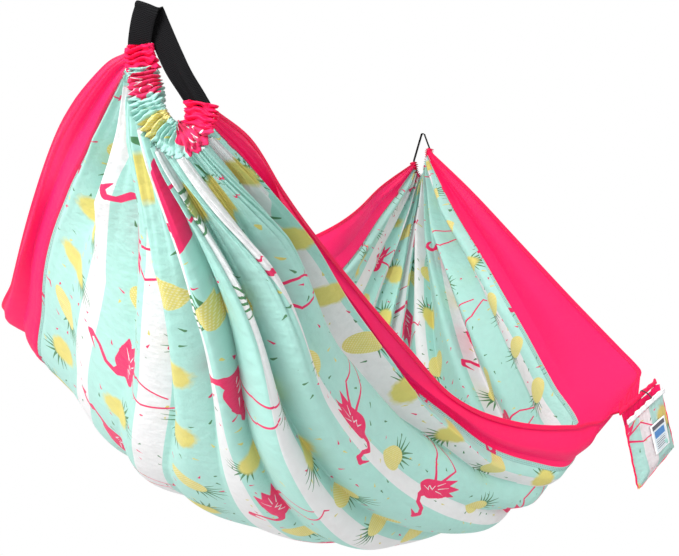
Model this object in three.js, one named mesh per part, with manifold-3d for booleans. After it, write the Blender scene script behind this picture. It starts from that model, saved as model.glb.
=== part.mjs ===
// Camping hammock, hung between two points: a printed centre panel between two plain side panels,
// gathered at each end on a flat webbing loop, with its stuff sack sewn to the right edge. Millimetres,
// +Z up. The origin is where the near loop hangs, +Y runs to the far loop, and +X is the right side.
import * as THREE from 'three';
import { mergeVertices } from 'three/addons/utils/BufferGeometryUtils.js';
import Module from 'manifold-3d';

// Driving dimensions
const SPAN = 2200; // between the two hanging points
const CENTRE_HALF = 700; // half the cut width of the printed centre panel
const SIDE_WIDTH = 220; // cut width of each side panel
const HALF_WIDTH = CENTRE_HALF + SIDE_WIDTH;
const CLOTH = 1.2; // modelled thickness of the cloth
const GAP = 0.4; // left between neighbouring pieces
const SEWN_GAP = 1.4; // left between cloth pieces that curve together
const HEM_WIDTH = 12;
const SEAM_WIDTH = 12;
const DOUBLED_CLOTH = 2; // a hem or felled seam, several layers of cloth thick
const WEBBING_WIDTH = 32;
const WEBBING_THICKNESS = 2.4;
const SLEEVE_DEPTH = 42; // outside, across the webbing
const SLEEVE_THICKNESS = 22; // outside, with its gathers
const SLEEVE_WALL = 3.6; // the gathered cloth of the channel
const STITCH_WIDTH = 3;
const STITCH_THICKNESS = 5;
const CLOTH_CLEARANCE = 2; // between a sleeve's stitching and the cloth, which turns sharply there
// From the middle of a sleeve's webbing to where the cloth starts
const CLOTH_START = SLEEVE_DEPTH / 2 + 2 * GAP + STITCH_WIDTH + CLOTH_CLEARANCE;
const CLOTH_END = SPAN - CLOTH_START;
const SACK_DEPTH = 18; // inside the stuff sack, front to back
const SACK_HEM = 14;
const CORD_DIAMETER = 3;

const PRINT = new THREE.MeshStandardMaterial({ color: 0xa8ead8, roughness: 0.6, side: THREE.DoubleSide });
const PINK = new THREE.MeshStandardMaterial({ color: 0xff2a70, roughness: 0.5, side: THREE.DoubleSide });
const BLACK = new THREE.MeshStandardMaterial({ color: 0x141416, roughness: 0.8 });
const THREAD = new THREE.MeshStandardMaterial({ color: 0x8c1238, roughness: 0.8 });
const WHITE = new THREE.MeshStandardMaterial({ color: 0xf2f2f0, roughness: 0.6 });
const PLASTIC = new THREE.MeshStandardMaterial({ color: 0x1c1c1e, roughness: 0.45 });
const STEEL = new THREE.MeshStandardMaterial({ color: 0xb8bcc0, roughness: 0.3, metalness: 1 });

const hammock = new THREE.Group();
const vec = (x, y, z) => new THREE.Vector3(x, y, z);

/** A smooth curve through knots of [parameter, x, z], as a function of its parameter. */
function through(knots) {
  const slope = (i, k) => {
    const a = knots[Math.max(i - 1, 0)];
    const b = knots[Math.min(i + 1, knots.length - 1)];
    return (b[k] - a[k]) / (b[0] - a[0]);
  };
  return (t) => {
    let i = knots.findIndex((knot) => knot[0] >= t);
    i = i < 0 ? knots.length - 2 : Math.max(i - 1, 0);
    const a = knots[i];
    const b = knots[i + 1];
    const h = b[0] - a[0];
    const s = (t - a[0]) / h;
    return [1, 2].map((k) => (
      (1 + 2 * s) * (1 - s) ** 2 * a[k] + s * (1 - s) ** 2 * h * slope(i, k)
      + s * s * (3 - 2 * s) * b[k] + s * s * (s - 1) * h * slope(i + 1, k)
    ));
  };
}

/** The run of the webbing inside an end sleeve, a lopsided U of x and z, by a fraction of its length. */
function sleevePath(points) {
  const curve = new THREE.CatmullRomCurve3(points.map(([x, z]) => vec(x, 0, z)), false, 'centripetal');
  return (fraction, offset = 0) => {
    const p = curve.getPointAt(fraction);
    const d = curve.getTangentAt(fraction);
    return vec(p.x + d.z * offset, 0, p.z - d.x * offset);
  };
}

const nearPath = sleevePath([[-19, -58], [-13, -105], [3, -148], [31, -171], [55, -160], [62, -129]]);
const farPath = sleevePath([[-34, -105], [-27, -142], [-7, -163], [12, -140], [24, -56]]);

// Where the cloth starts at each end, for a point at width u across the hammock
const acrossPath = (u) => (u + HALF_WIDTH) / (2 * HALF_WIDTH);
const nearEdge = (u) => nearPath(acrossPath(u), CLOTH_START);
const farEdge = (u) => farPath(acrossPath(u));

// Lines that run the length of the hammock, each at its own width u, as [y, x, z] between the two sleeves
const RUNS = [
  [-HALF_WIDTH, [
    [100, -122, -58], [200, -231, -95], [350, -366, -153], [500, -512, -272], [700, -692, -425],
    [800, -780, -500], [950, -681, -505], [1100, -532, -470], [1300, -303, -396], [1500, -140, -306],
    [1850, -82, -191],
  ]],
  [-CENTRE_HALF, [
    [100, -100, -95], [250, -231, -165], [350, -327, -225], [500, -458, -320], [650, -579, -465],
    [800, -680, -620], [950, -601, -680], [1100, -472, -680], [1300, -273, -580], [1500, -145, -460],
    [1900, -72, -255],
  ]],
  [-HALF_WIDTH * 0.38, [
    [150, -85, -290], [350, -197, -520], [600, -350, -768], [850, -400, -900], [1100, -350, -948],
    [1350, -224, -900], [1600, -146, -740], [1900, -78, -440],
  ]],
  [0, [
    [150, 20, -400], [350, -17, -660], [600, -28, -881], [850, -10, -1013], [1100, 8, -1068],
    [1350, 21, -1032], [1600, 14, -890], [1900, -3, -560],
  ]],
  [HALF_WIDTH * 0.38, [
    [150, 85, -350], [350, 118, -580], [600, 187, -790], [850, 283, -934], [1100, 368, -1003],
    [1350, 342, -922], [1600, 224, -740], [1900, 92, -430],
  ]],
  [CENTRE_HALF, [
    [100, 91, -205], [250, 92, -281], [500, 115, -430], [700, 188, -600], [800, 275, -700], [900, 349, -786],
    [1000, 436, -842], [1090, 519, -868], [1200, 543, -798], [1300, 486, -727], [1500, 394, -603],
    [1700, 280, -444], [1900, 169, -295],
  ]],
  [HALF_WIDTH, [
    [100, 92, -164], [200, 102, -227], [350, 106, -295], [550, 147, -419], [650, 203, -517], [800, 290, -655],
    [950, 409, -735], [1050, 540, -758], [1120, 625, -742], [1185, 661, -705], [1240, 692, -668],
    [1265, 687, -655], [1320, 648, -620], [1500, 520, -505], [1700, 379, -373], [1950, 203, -209],
  ]],
].map(([u, points]) => {
  const start = nearEdge(u);
  const end = farEdge(u);
  return { u, at: through([[0, start.x, start.z], ...points, [CLOTH_END, end.x, end.z]]) };
});

const FIT_LENGTH = 160; // over which the cloth comes onto the line where a sleeve is sewn
const across = (y) => through(RUNS.map(({ u, at }) => [u, ...at(y)]));
const ends = [[0, nearEdge], [CLOTH_END, farEdge]].map(([y, edge]) => ({ y, edge, curve: across(y) }));

/** What brings the smooth surface onto the line where each sleeve is sewn, fading out along the cloth. */
function fitToSleeves(u, y) {
  const shift = [0, 0];
  for (const end of ends) {
    const t = Math.min(Math.abs(y - end.y) / FIT_LENGTH, 1);
    const weight = (1 - t) ** 2 * (1 + 2 * t);
    const [x, z] = end.curve(u);
    const target = end.edge(u);
    shift[0] += weight * (target.x - x);
    shift[1] += weight * (target.z - z);
  }
  return shift;
}

/** The cross-section at y: a point at an arc length s from the left edge, and both seams' arc lengths. */
function section(y) {
  const steps = 96;
  const curve = across(y);
  const points = [];
  let length = 0;
  let previous = null;
  const marks = {};
  for (let i = 0; i <= steps; i += 1) {
    const u = HALF_WIDTH * (2 * i / steps - 1);
    const [x, z] = curve(u);
    const [dx, dz] = fitToSleeves(u, y);
    const p = vec(x + dx, y, z + dz);
    if (previous) length += p.distanceTo(previous.p);
    const now = { p, s: length, u };
    for (const [name, mark] of [['left', -CENTRE_HALF], ['right', CENTRE_HALF]]) {
      if (previous && previous.u < mark && u >= mark) {
        marks[name] = previous.s + (length - previous.s) * (mark - previous.u) / (u - previous.u);
      }
    }
    points.push(now);
    previous = now;
  }
  const at = (s) => {
    let i = points.findIndex((q) => q.s >= s);
    i = i < 0 ? points.length - 1 : Math.max(i, 1);
    const a = points[i - 1];
    const b = points[i];
    return a.p.clone().lerp(b.p, (s - a.s) / (b.s - a.s));
  };
  return { at, length, ...marks };
}

/** A closed body from rows of points and triangles, with its faces turned outwards. */
function body(name, vertices, triangles, material) {
  let volume = 0;
  for (const [a, b, c] of triangles) {
    volume += vertices[a].dot(vertices[b].clone().cross(vertices[c]));
  }
  const faces = volume < 0 ? triangles.map(([a, b, c]) => [a, c, b]) : triangles;
  const geometry = new THREE.BufferGeometry();
  const numbers = vertices.flatMap((p) => p.toArray());
  geometry.setAttribute('position', new THREE.Float32BufferAttribute(numbers, 3));
  geometry.setIndex(faces.flat());
  geometry.computeVertexNormals();
  const mesh = new THREE.Mesh(geometry, material);
  mesh.name = name;
  return mesh;
}

/** A body through rings with the same number of points: a solid bar, or a tube when closed end to end. */
function loft(name, rings, material, endless = false) {
  const n = rings[0].length;
  const triangles = [];
  const count = endless ? rings.length : rings.length - 1;
  for (let r = 0; r < count; r += 1) {
    const next = (r + 1) % rings.length;
    for (let i = 0; i < n; i += 1) {
      const j = (i + 1) % n;
      triangles.push([r * n + i, r * n + j, next * n + j], [r * n + i, next * n + j, next * n + i]);
    }
  }
  if (!endless) {
    const end = (rings.length - 1) * n;
    for (let i = 1; i < n - 1; i += 1) {
      triangles.push([0, i + 1, i], [end, end + i, end + i + 1]);
    }
  }
  return body(name, rings.flat(), triangles, material);
}

/** A sheet of cloth with a real thickness, from a grid of points. */
function cloth(name, grid, thickness, material) {
  const rows = grid.length;
  const columns = grid[0].length;
  const faces = [[], []];
  grid.forEach((row, r) => row.forEach((p, c) => {
    const along = grid[Math.min(r + 1, rows - 1)][c].clone().sub(grid[Math.max(r - 1, 0)][c]);
    const sideways = row[Math.min(c + 1, columns - 1)].clone().sub(row[Math.max(c - 1, 0)]);
    const normal = along.cross(sideways).normalize().multiplyScalar(thickness / 2);
    faces[0].push(p.clone().add(normal));
    faces[1].push(p.clone().sub(normal));
  }));
  const size = rows * columns;
  const triangles = [];
  const index = (r, c) => r * columns + c;
  for (let r = 0; r < rows - 1; r += 1) {
    for (let c = 0; c < columns - 1; c += 1) {
      const [p, q, s, t] = [index(r, c), index(r, c + 1), index(r + 1, c + 1), index(r + 1, c)];
      triangles.push([p, q, s], [p, s, t], [p + size, s + size, q + size], [p + size, t + size, s + size]);
    }
  }
  const rim = [];
  for (let c = 0; c < columns - 1; c += 1) rim.push(index(0, c));
  for (let r = 0; r < rows - 1; r += 1) rim.push(index(r, columns - 1));
  for (let c = columns - 1; c > 0; c -= 1) rim.push(index(rows - 1, c));
  for (let r = rows - 1; r > 0; r -= 1) rim.push(index(r, 0));
  rim.forEach((p, i) => {
    const q = rim[(i + 1) % rim.length];
    triangles.push([p, p + size, q + size], [p, q + size, q]);
  });
  return body(name, faces.flat(), triangles, material);
}

/** Four corners around a point, with half sizes along two directions. */
function corners(centre, wide, halfWidth, thick, halfThickness) {
  return [[-1, -1], [1, -1], [1, 1], [-1, 1]].map(([a, b]) => (
    centre.clone().addScaledVector(wide, a * halfWidth).addScaledVector(thick, b * halfThickness)
  ));
}

// Cloth panels, seams and hems
const LENGTH_STEPS = 26;
const END_CROWDING = 0.6; // how much closer together the steps are near the sleeves
const stations = Array.from({ length: LENGTH_STEPS + 1 }, (_, i) => {
  const t = i / LENGTH_STEPS;
  return CLOTH_END * (t - END_CROWDING * Math.sin(2 * Math.PI * t) / (2 * Math.PI));
});
const sections = stations.map(section);

function panel(name, from, to, columns, material) {
  const grid = sections.map((cut) => {
    const [a, b] = [from(cut), to(cut)];
    return Array.from({ length: columns + 1 }, (_, i) => cut.at(a + (b - a) * i / columns));
  });
  hammock.add(cloth(name, grid, CLOTH, material));
}

function strip(name, from, width, material) {
  const grid = sections.map((cut) => [from(cut), from(cut) + width].map((s) => cut.at(s)));
  hammock.add(cloth(name, grid, DOUBLED_CLOTH, material));
}

const besideSeam = SEAM_WIDTH / 2 + SEWN_GAP;
const besideHem = HEM_WIDTH + SEWN_GAP;
panel('left_side_panel', () => besideHem, (cut) => cut.left - besideSeam, 4, PINK);
panel('center_panel', (cut) => cut.left + besideSeam, (cut) => cut.right - besideSeam, 18, PRINT);
panel('right_side_panel', (cut) => cut.right + besideSeam, (cut) => cut.length - besideHem, 4, PINK);
strip('left_felled_seam', (cut) => cut.left - SEAM_WIDTH / 2, SEAM_WIDTH, THREAD);
strip('right_felled_seam', (cut) => cut.right - SEAM_WIDTH / 2, SEAM_WIDTH, THREAD);
strip('left_edge_hem', () => 0, HEM_WIDTH, PINK);
strip('right_edge_hem', (cut) => cut.length - HEM_WIDTH, HEM_WIDTH, PINK);

// End sleeves, with the webbing that runs in them. Each sleeve is described by its path, the place of
// its middle along the hammock, and whether the webbing stands flat across the hammock's length or
// along it.
const SLEEVE_STEPS = 14;
const LAP_FROM = 4; // the ends of the webbing are sewn over each other between these steps
const LAP_TO = 9;
const LAP_INSET = 2; // the lap is this much narrower on each side
const LAP_THINNING = 0.3;
const INWARDS = 0.01; // how far along a sleeve its direction is taken from
function bent(path, fraction, flat) {
  const here = path(fraction);
  const ahead = path(Math.min(fraction + INWARDS, 1));
  const behind = path(Math.max(fraction - INWARDS, 0));
  const direction = ahead.sub(behind).normalize();
  const inPlane = direction.clone().cross(vec(0, 1, 0));
  return { here, width: flat ? inPlane : vec(0, 1, 0), thick: flat ? vec(0, 1, 0) : inPlane };
}

function endSleeve(prefix, path, y, flat) {
  const middle = (fraction) => {
    const at = bent(path, fraction, flat);
    at.here.y = y;
    return at;
  };
  const fractions = Array.from({ length: SLEEVE_STEPS + 1 }, (_, i) => i / SLEEVE_STEPS);
  const tube = (at, wall) => Array.from({ length: 8 }, (_, i) => {
    const angle = Math.PI * (i + 0.5) / 4;
    const square = 1 / Math.max(Math.abs(Math.cos(angle)), Math.abs(Math.sin(angle)));
    return at.here.clone()
      .addScaledVector(at.width, Math.cos(angle) * square * (SLEEVE_DEPTH / 2 - wall))
      .addScaledVector(at.thick, Math.sin(angle) * square * (SLEEVE_THICKNESS / 2 - wall));
  });
  const outside = fractions.map((f) => tube(middle(f), 0));
  const inside = fractions.map((f) => tube(middle(f), SLEEVE_WALL));
  hammock.add(loft(`${prefix}_end_sleeve`, [...outside, ...inside.reverse()], PRINT, true));

  const webbing = fractions.map((f) => {
    const at = middle(f);
    return corners(at.here, at.width, WEBBING_WIDTH / 2, at.thick, WEBBING_THICKNESS / 2);
  });
  hammock.add(loft(`${prefix}_webbing_core`, webbing, BLACK));

  const lap = fractions.slice(LAP_FROM, LAP_TO + 1).map((f) => {
    const at = middle(f);
    const centre = at.here.addScaledVector(at.thick, WEBBING_THICKNESS + GAP);
    const halfThickness = WEBBING_THICKNESS / 2 - LAP_THINNING;
    return corners(centre, at.width, WEBBING_WIDTH / 2 - LAP_INSET, at.thick, halfThickness);
  });
  hammock.add(loft(`${prefix}_webbing_lap`, lap, BLACK));

  const stitch = fractions.map((f) => {
    const at = middle(f);
    const side = SLEEVE_DEPTH / 2 + GAP + STITCH_WIDTH / 2;
    const toCloth = flat ? at.width.clone().multiplyScalar(-1) : vec(0, -1, 0);
    return corners(at.here.addScaledVector(toCloth, side), at.width, STITCH_WIDTH / 2,
      at.thick, STITCH_THICKNESS / 2);
  });
  hammock.add(loft(`${prefix}_sleeve_stitching`, stitch, THREAD));
}
endSleeve('near', nearPath, 0, true);
endSleeve('far', farPath, SPAN, false);

// Exposed webbing loops: each strand leaves a sleeve mouth and folds over the flat crown that hangs on
// the hook
const CROWN_HALF = 4;
const STRAND_OFFSET = 6.6;
// Room for each loop to tip at its sleeve's mouths: the far one stands edge on to the way it tips and
// needs more
const NEAR_CLEARANCE = 3.5;
const FAR_CLEARANCE = 9;
function strap(name, rings) {
  hammock.add(loft(name, rings.map(({ at, width, thick }) => (
    corners(at, width.clone().normalize(), WEBBING_WIDTH / 2, thick, WEBBING_THICKNESS / 2)
  )), BLACK));
}

function mouth(path, fraction, y, flat, clearance) {
  const end = bent(path, fraction, flat);
  const out = path(fraction).sub(path(fraction === 0 ? 0.02 : 0.98)).normalize();
  const at = end.here.addScaledVector(out, clearance);
  at.y = y;
  return { at, width: end.width, thick: end.thick };
}

const lift = WEBBING_THICKNESS / 2;
const nearLeft = mouth(nearPath, 0, 0, true, NEAR_CLEARANCE);
const nearRight = mouth(nearPath, 1, 0, true, NEAR_CLEARANCE);
const front = vec(0, -1, 0);
const back = vec(0, 1, 0);
const up = vec(0, 0, 1);
const leftwards = nearLeft.width.dot(vec(1, 0, 0)) < 0 ? -1 : 1;
const rightwards = nearRight.width.dot(vec(1, 0, 0)) < 0 ? -1 : 1;
strap('near_webbing_loop', [
  { ...nearLeft, width: nearLeft.width.multiplyScalar(leftwards), thick: front },
  { at: vec(-16, -3, -40), width: vec(1, 0, -0.2), thick: front },
  { at: vec(-7, -5.5, -20), width: vec(1, 0, -0.2), thick: front },
  { at: vec(-1, -STRAND_OFFSET, -5), width: vec(1, 0, 0), thick: front },
  { at: vec(0, -CROWN_HALF, lift), width: vec(1, 0, 0), thick: up },
  { at: vec(0, CROWN_HALF, lift), width: vec(1, 0, 0), thick: up },
  { at: vec(2, STRAND_OFFSET, -5), width: vec(1, 0, 0.1), thick: back },
  { at: vec(10, 6, -28), width: vec(1, 0, 0.4), thick: back },
  { at: vec(34, 4, -82), width: vec(1, 0, 0.45), thick: back },
  { ...nearRight, width: nearRight.width.multiplyScalar(rightwards), thick: back },
]);

const farLeft = mouth(farPath, 0, SPAN, false, FAR_CLEARANCE);
const farRight = mouth(farPath, 1, SPAN, false, FAR_CLEARANCE);
const along = vec(0, 1, 0);
const toLeft = vec(-1, 0, 0.15).normalize();
const toRight = vec(1, 0, 0.3).normalize();
strap('far_webbing_loop', [
  { at: farLeft.at, width: along, thick: vec(-1, 0, 0.1).normalize() },
  { at: vec(-26, SPAN, -72), width: along, thick: toLeft },
  { at: vec(-STRAND_OFFSET, SPAN, -5), width: along, thick: toLeft },
  { at: vec(-CROWN_HALF, SPAN, lift), width: along, thick: up },
  { at: vec(CROWN_HALF, SPAN, lift), width: along, thick: up },
  { at: vec(STRAND_OFFSET, SPAN, -5), width: along, thick: toRight },
  { at: vec(17, SPAN, -32), width: along, thick: toRight },
  { at: farRight.at, width: along, thick: vec(1, 0, -0.05).normalize() },
]);

// Stuff sack: its own frame has +X along the mouth, +Z up the sack and -Y to its front
const SACK_WIDTH = 148;
const SACK_LEFT = 193; // depth of the bag along its left edge
const SACK_RIGHT = 158; // and along its right edge, which is drawn up
const SACK_SPLAY = 7;
const FLAP = 20; // how far the back of the mouth stands above its front
const sack = new THREE.Group();
sack.position.set(646, 1119, -753.6);
sack.rotation.set(0, -0.33, 0.848, 'ZYX');
hammock.add(sack);

/** A flat piece of the sack between two depths y, from an outline of [x, z]. */
function flat(name, outline, y, thickness, material) {
  const faces = [y - thickness / 2, y + thickness / 2];
  sack.add(loft(name, faces.map((depth) => outline.map(([x, z]) => vec(x, depth, z))), material));
}

const SIDE_SEAM = 2;
const inset = SIDE_SEAM + GAP;
const bottom = (x) => -(SACK_LEFT + (SACK_RIGHT - SACK_LEFT) * x / SACK_WIDTH);
const bag = (top) => [
  [inset, top], [SACK_WIDTH - inset, top],
  [SACK_WIDTH + SACK_SPLAY - inset, bottom(SACK_WIDTH) + inset], [inset, bottom(0) + inset],
];
const half = SACK_DEPTH / 2;
flat('sack_front_panel', bag(-SACK_HEM - GAP), -half, CLOTH, PRINT);
flat('sack_back_panel', bag(FLAP - SACK_HEM - GAP), half, CLOTH, PINK);
const hem = (top) => [[0, top], [SACK_WIDTH, top], [SACK_WIDTH, top - SACK_HEM], [0, top - SACK_HEM]];
const HEM_THICKNESS = 4.4;
flat('sack_front_hem', hem(0), -half, HEM_THICKNESS, WHITE);
flat('sack_back_hem', hem(FLAP), half, HEM_THICKNESS, PINK);
const LABEL_OUTLINE = [[76, -60], [120, -58], [122, -122], [78, -126]];
const LABEL_THICKNESS = 1;
flat('sack_label', LABEL_OUTLINE, -half - (CLOTH + LABEL_THICKNESS) / 2 - GAP, LABEL_THICKNESS, WHITE);

const wallHalf = half - CLOTH / 2 - GAP;
const sideWall = [
  [0, -SACK_HEM - GAP, 1, 0], [0, bottom(0), 1, 1], [SACK_WIDTH + SACK_SPLAY, bottom(SACK_WIDTH), -1, 1],
  [SACK_WIDTH, -SACK_HEM - GAP, -1, 0],
].map(([x, z, inX, inZ]) => {
  const innerX = x + SIDE_SEAM * inX;
  const innerZ = z + SIDE_SEAM * inZ;
  return [
    vec(x, -wallHalf, z), vec(x, wallHalf, z), vec(innerX, wallHalf, innerZ), vec(innerX, -wallHalf, innerZ),
  ];
});
sack.add(loft('sack_side_seam', sideWall, PRINT));

// The strip of cloth that joins the back of the sack's mouth to the hammock's right edge
const BRIDGE = 6;
const ATTACH_FROM = 1128; // along the hammock's edge
const ATTACH_TO = 1230;
const SEWN_FROM = 4; // and along the sack's mouth
const SEWN_LENGTH = 76;
const STRIP_THICKNESS = 1.6;
sack.updateMatrixWorld(true);
const bridge = Array.from({ length: BRIDGE + 1 }, (_, i) => {
  const t = i / BRIDGE;
  const cut = section(ATTACH_FROM + (ATTACH_TO - ATTACH_FROM) * t);
  const edge = cut.at(cut.length);
  const beyond = edge.clone().sub(cut.at(cut.length - HEM_WIDTH)).normalize();
  const onEdge = edge.addScaledVector(beyond, SEWN_GAP);
  const behind = half + (HEM_THICKNESS + STRIP_THICKNESS) / 2 + 2 * GAP;
  const onSack = sack.localToWorld(vec(SEWN_FROM + SEWN_LENGTH * t, behind, FLAP - 3));
  return [onEdge, onSack];
});
hammock.add(cloth('sack_attachment_strip', bridge, STRIP_THICKNESS, PINK));

// Drawstring: out of the front channel, over the back of the mouth and down behind it to its knot
const CORD_ROUTE = [
  [98, -9, 0.4], [98, -9, 7], [97, -7, 14], [95, -2, 21], [93, 4, 26], [92, 9.5, 27.5], [92, 14, 24],
  [92, 17, 17], [92, 17.5, 4], [92, 17.5, -14], [92, 17.5, -34], [92, 17.5, -58],
];
const SIDES = 8;

/** A round section, as the outline that a tube or a turned piece is extruded from. */
function circle(radius, sides = SIDES) {
  return new THREE.Shape(Array.from({ length: sides }, (_, i) => {
    const angle = 2 * Math.PI * (i + 0.5) / sides;
    return new THREE.Vector2(radius * Math.cos(angle), radius * Math.sin(angle));
  }));
}

const CORD_STEPS = 30;
const drawstring = new THREE.Mesh(new THREE.ExtrudeGeometry(circle(CORD_DIAMETER / 2), {
  steps: CORD_STEPS,
  extrudePath: new THREE.CatmullRomCurve3(CORD_ROUTE.map((p) => vec(...p))),
  bevelEnabled: false,
}), BLACK);
drawstring.name = 'sack_drawstring';
sack.add(drawstring);

const KNOT_RADIUS = 4.2;
const [knotX, knotY, cordEnd] = CORD_ROUTE.at(-1);
const knot = new THREE.Mesh(new THREE.IcosahedronGeometry(KNOT_RADIUS, 1), BLACK);
knot.name = 'drawstring_knot';
knot.position.set(knotX, knotY, cordEnd - GAP - KNOT_RADIUS);
sack.add(knot);

// Cord lock on the drawstring: a barrel with a sprung plunger in it, both with a cross hole that the
// cord runs through
const BARREL = { radius: 6.5, length: 17, bore: 4.7, floor: 2.2 };
const PLUNGER = { radius: 4.2, length: 15, hole: 2.3 };
const TRAVEL = 3.5;
const CROSS_HOLE = 2.3;
const LOCK_HEIGHT = -24; // where it grips the cord
const lock = new THREE.Group();
lock.position.set(knotX, knotY, LOCK_HEIGHT);
sack.add(lock);

const wasm = await Module();
wasm.setup();
function toSolid(geometry) {
  const bare = geometry.clone();
  bare.deleteAttribute('normal');
  bare.deleteAttribute('uv');
  const merged = mergeVertices(bare, 1e-4);
  return new wasm.Manifold(new wasm.Mesh({
    numProp: 3, vertProperties: merged.attributes.position.array, triVerts: merged.index.array,
  }));
}

function fromSolid(name, solid, material) {
  const { vertProperties, triVerts } = solid.getMesh();
  const geometry = new THREE.BufferGeometry();
  geometry.setAttribute('position', new THREE.BufferAttribute(vertProperties, 3));
  geometry.setIndex(new THREE.BufferAttribute(triVerts, 1));
  geometry.computeVertexNormals();
  const mesh = new THREE.Mesh(geometry, material);
  mesh.name = name;
  lock.add(mesh);
}

/** A round bar along X between two places. */
function bar(radius, from, to, sides = 16) {
  const geometry = new THREE.CylinderGeometry(radius, radius, to - from, sides);
  geometry.rotateZ(-Math.PI / 2);
  geometry.translate((from + to) / 2, 0, 0);
  return toSolid(geometry);
}

/** An upright hole for the cord, drawn out along X where the cord shifts in it. */
function cordHole(radius, stretch) {
  const geometry = new THREE.CylinderGeometry(radius, radius, 4 * BARREL.radius, 12);
  geometry.rotateX(Math.PI / 2);
  geometry.scale(1 + stretch / radius, 1, 1);
  return toSolid(geometry);
}

const barrelEnd = BARREL.length / 2;
const barrel = bar(BARREL.radius, -barrelEnd, barrelEnd)
  .subtract(bar(BARREL.bore, -barrelEnd + BARREL.floor, barrelEnd + 1))
  .subtract(cordHole(CROSS_HOLE, 0));
fromSolid('cord_lock_barrel', barrel, PLASTIC);
const CLEAR_OF_FLOOR = 1.2; // left below the plunger when it is pressed
const plungerStart = -barrelEnd + BARREL.floor + TRAVEL + CLEAR_OF_FLOOR;
const plunger = bar(PLUNGER.radius, plungerStart, plungerStart + PLUNGER.length)
  .subtract(cordHole(PLUNGER.hole, TRAVEL));
fromSolid('cord_lock_plunger', plunger, PLASTIC);

const SPRING = { radius: 3.1, wire: 0.4, turns: 2.5, clear: 0.8, steps: 30 };

class Coil extends THREE.Curve {
  getPoint(t, target = new THREE.Vector3()) {
    const angle = 2 * Math.PI * SPRING.turns * t;
    const start = -barrelEnd + BARREL.floor + SPRING.clear;
    const end = plungerStart - SPRING.clear;
    const x = start + (end - start) * t;
    return target.set(x, SPRING.radius * Math.cos(angle), SPRING.radius * Math.sin(angle));
  }
}
const spring = new THREE.Mesh(new THREE.ExtrudeGeometry(circle(SPRING.wire, 6), {
  steps: SPRING.steps, extrudePath: new Coil(), bevelEnabled: false,
}), STEEL);
spring.name = 'cord_lock_spring';
lock.add(spring);

export default hammock;
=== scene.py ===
"""The camping hammock's looks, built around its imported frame.

Metres, +Z up. The near loop hangs from the origin and the far loop from 2.2 m along +Y.
"""
import math

import bpy
import numpy as np
from mathutils import Matrix, Vector


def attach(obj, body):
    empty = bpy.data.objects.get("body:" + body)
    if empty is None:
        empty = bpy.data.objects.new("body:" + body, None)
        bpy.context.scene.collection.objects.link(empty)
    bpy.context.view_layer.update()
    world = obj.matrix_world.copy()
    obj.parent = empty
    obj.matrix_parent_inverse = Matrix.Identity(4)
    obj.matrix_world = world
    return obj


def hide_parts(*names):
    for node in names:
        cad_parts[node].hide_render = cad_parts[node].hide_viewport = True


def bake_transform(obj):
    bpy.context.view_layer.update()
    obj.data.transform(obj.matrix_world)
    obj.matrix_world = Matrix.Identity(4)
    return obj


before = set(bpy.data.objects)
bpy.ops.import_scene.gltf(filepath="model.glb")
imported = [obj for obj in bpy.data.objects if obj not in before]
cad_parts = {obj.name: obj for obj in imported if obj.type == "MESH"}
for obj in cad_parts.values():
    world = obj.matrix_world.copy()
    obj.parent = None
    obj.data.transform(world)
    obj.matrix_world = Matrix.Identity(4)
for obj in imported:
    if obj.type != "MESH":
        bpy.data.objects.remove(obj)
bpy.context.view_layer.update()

MM = 0.001

# ---------------------------------------------------------------- camera
CAMERA_PLACE = (0.492, -1.019, -0.246)
CAMERA_PITCH_DOWN = 4.92
CAMERA_HEADING = 14.06
CAMERA_LENS = 46.7


def linked(name, data):
    """A new object in the scene."""
    made = bpy.data.objects.new(name, data)
    bpy.context.scene.collection.objects.link(made)
    return made


def add_camera():
    data = bpy.data.cameras.new("camera")
    data.lens = CAMERA_LENS
    data.clip_end = 60
    camera = linked("camera", data)
    camera.location = CAMERA_PLACE
    camera.rotation_euler = (math.radians(90 - CAMERA_PITCH_DOWN), 0, math.radians(CAMERA_HEADING))
    bpy.context.scene.camera = camera


add_camera()

# ---------------------------------------------------------------- the cloth's shape, as in the CAD part
SPAN = 2.2
CENTRE_HALF = 0.70
SIDE_WIDTH = 0.22
HALF_WIDTH = CENTRE_HALF + SIDE_WIDTH
CLOTH_LENGTH = 3.0
SLEEVE_HALF_DEPTH = 0.021
SLEEVE_HALF_THICKNESS = 0.011
CLOTH_START = 0.018  # from the webbing's middle to where the cloth leaves the sleeve


def through(knots, t):
    """Values at t of a smooth curve through knots, an array of [parameter, value, value ...]."""
    knots = np.asarray(knots, float)
    t = np.asarray(t, float)
    n = len(knots)
    before = np.maximum(np.arange(n) - 1, 0)
    after = np.minimum(np.arange(n) + 1, n - 1)
    slopes = (knots[after, 1:] - knots[before, 1:]) / (knots[after, 0] - knots[before, 0])[:, None]
    i = np.clip(np.searchsorted(knots[:, 0], t, side="left") - 1, 0, n - 2)
    h = (knots[i + 1, 0] - knots[i, 0])[..., None]
    s = ((t - knots[i, 0]) / h[..., 0])[..., None]
    return (
        (1 + 2 * s) * (1 - s) ** 2 * knots[i, 1:]
        + s * (1 - s) ** 2 * h * slopes[i]
        + s * s * (3 - 2 * s) * knots[i + 1, 1:]
        + s * s * (s - 1) * h * slopes[i + 1]
    )


def steps_along(points):
    """The distance from each point of a line to the next."""
    return np.linalg.norm(np.diff(points, axis=0), axis=1)


def added_up(steps):
    """Running totals from 0."""
    return np.concatenate([[0], np.cumsum(steps)])


def travelled(points):
    """How far along a line each of its points is."""
    return added_up(steps_along(points))


def spaced(points):
    """A curve's parameter at each of its points, by the square root of the steps between them."""
    return added_up(np.sqrt(steps_along(points)))


def unit(vectors):
    return vectors / np.maximum(np.linalg.norm(vectors, axis=-1, keepdims=True), 1e-12)


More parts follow.
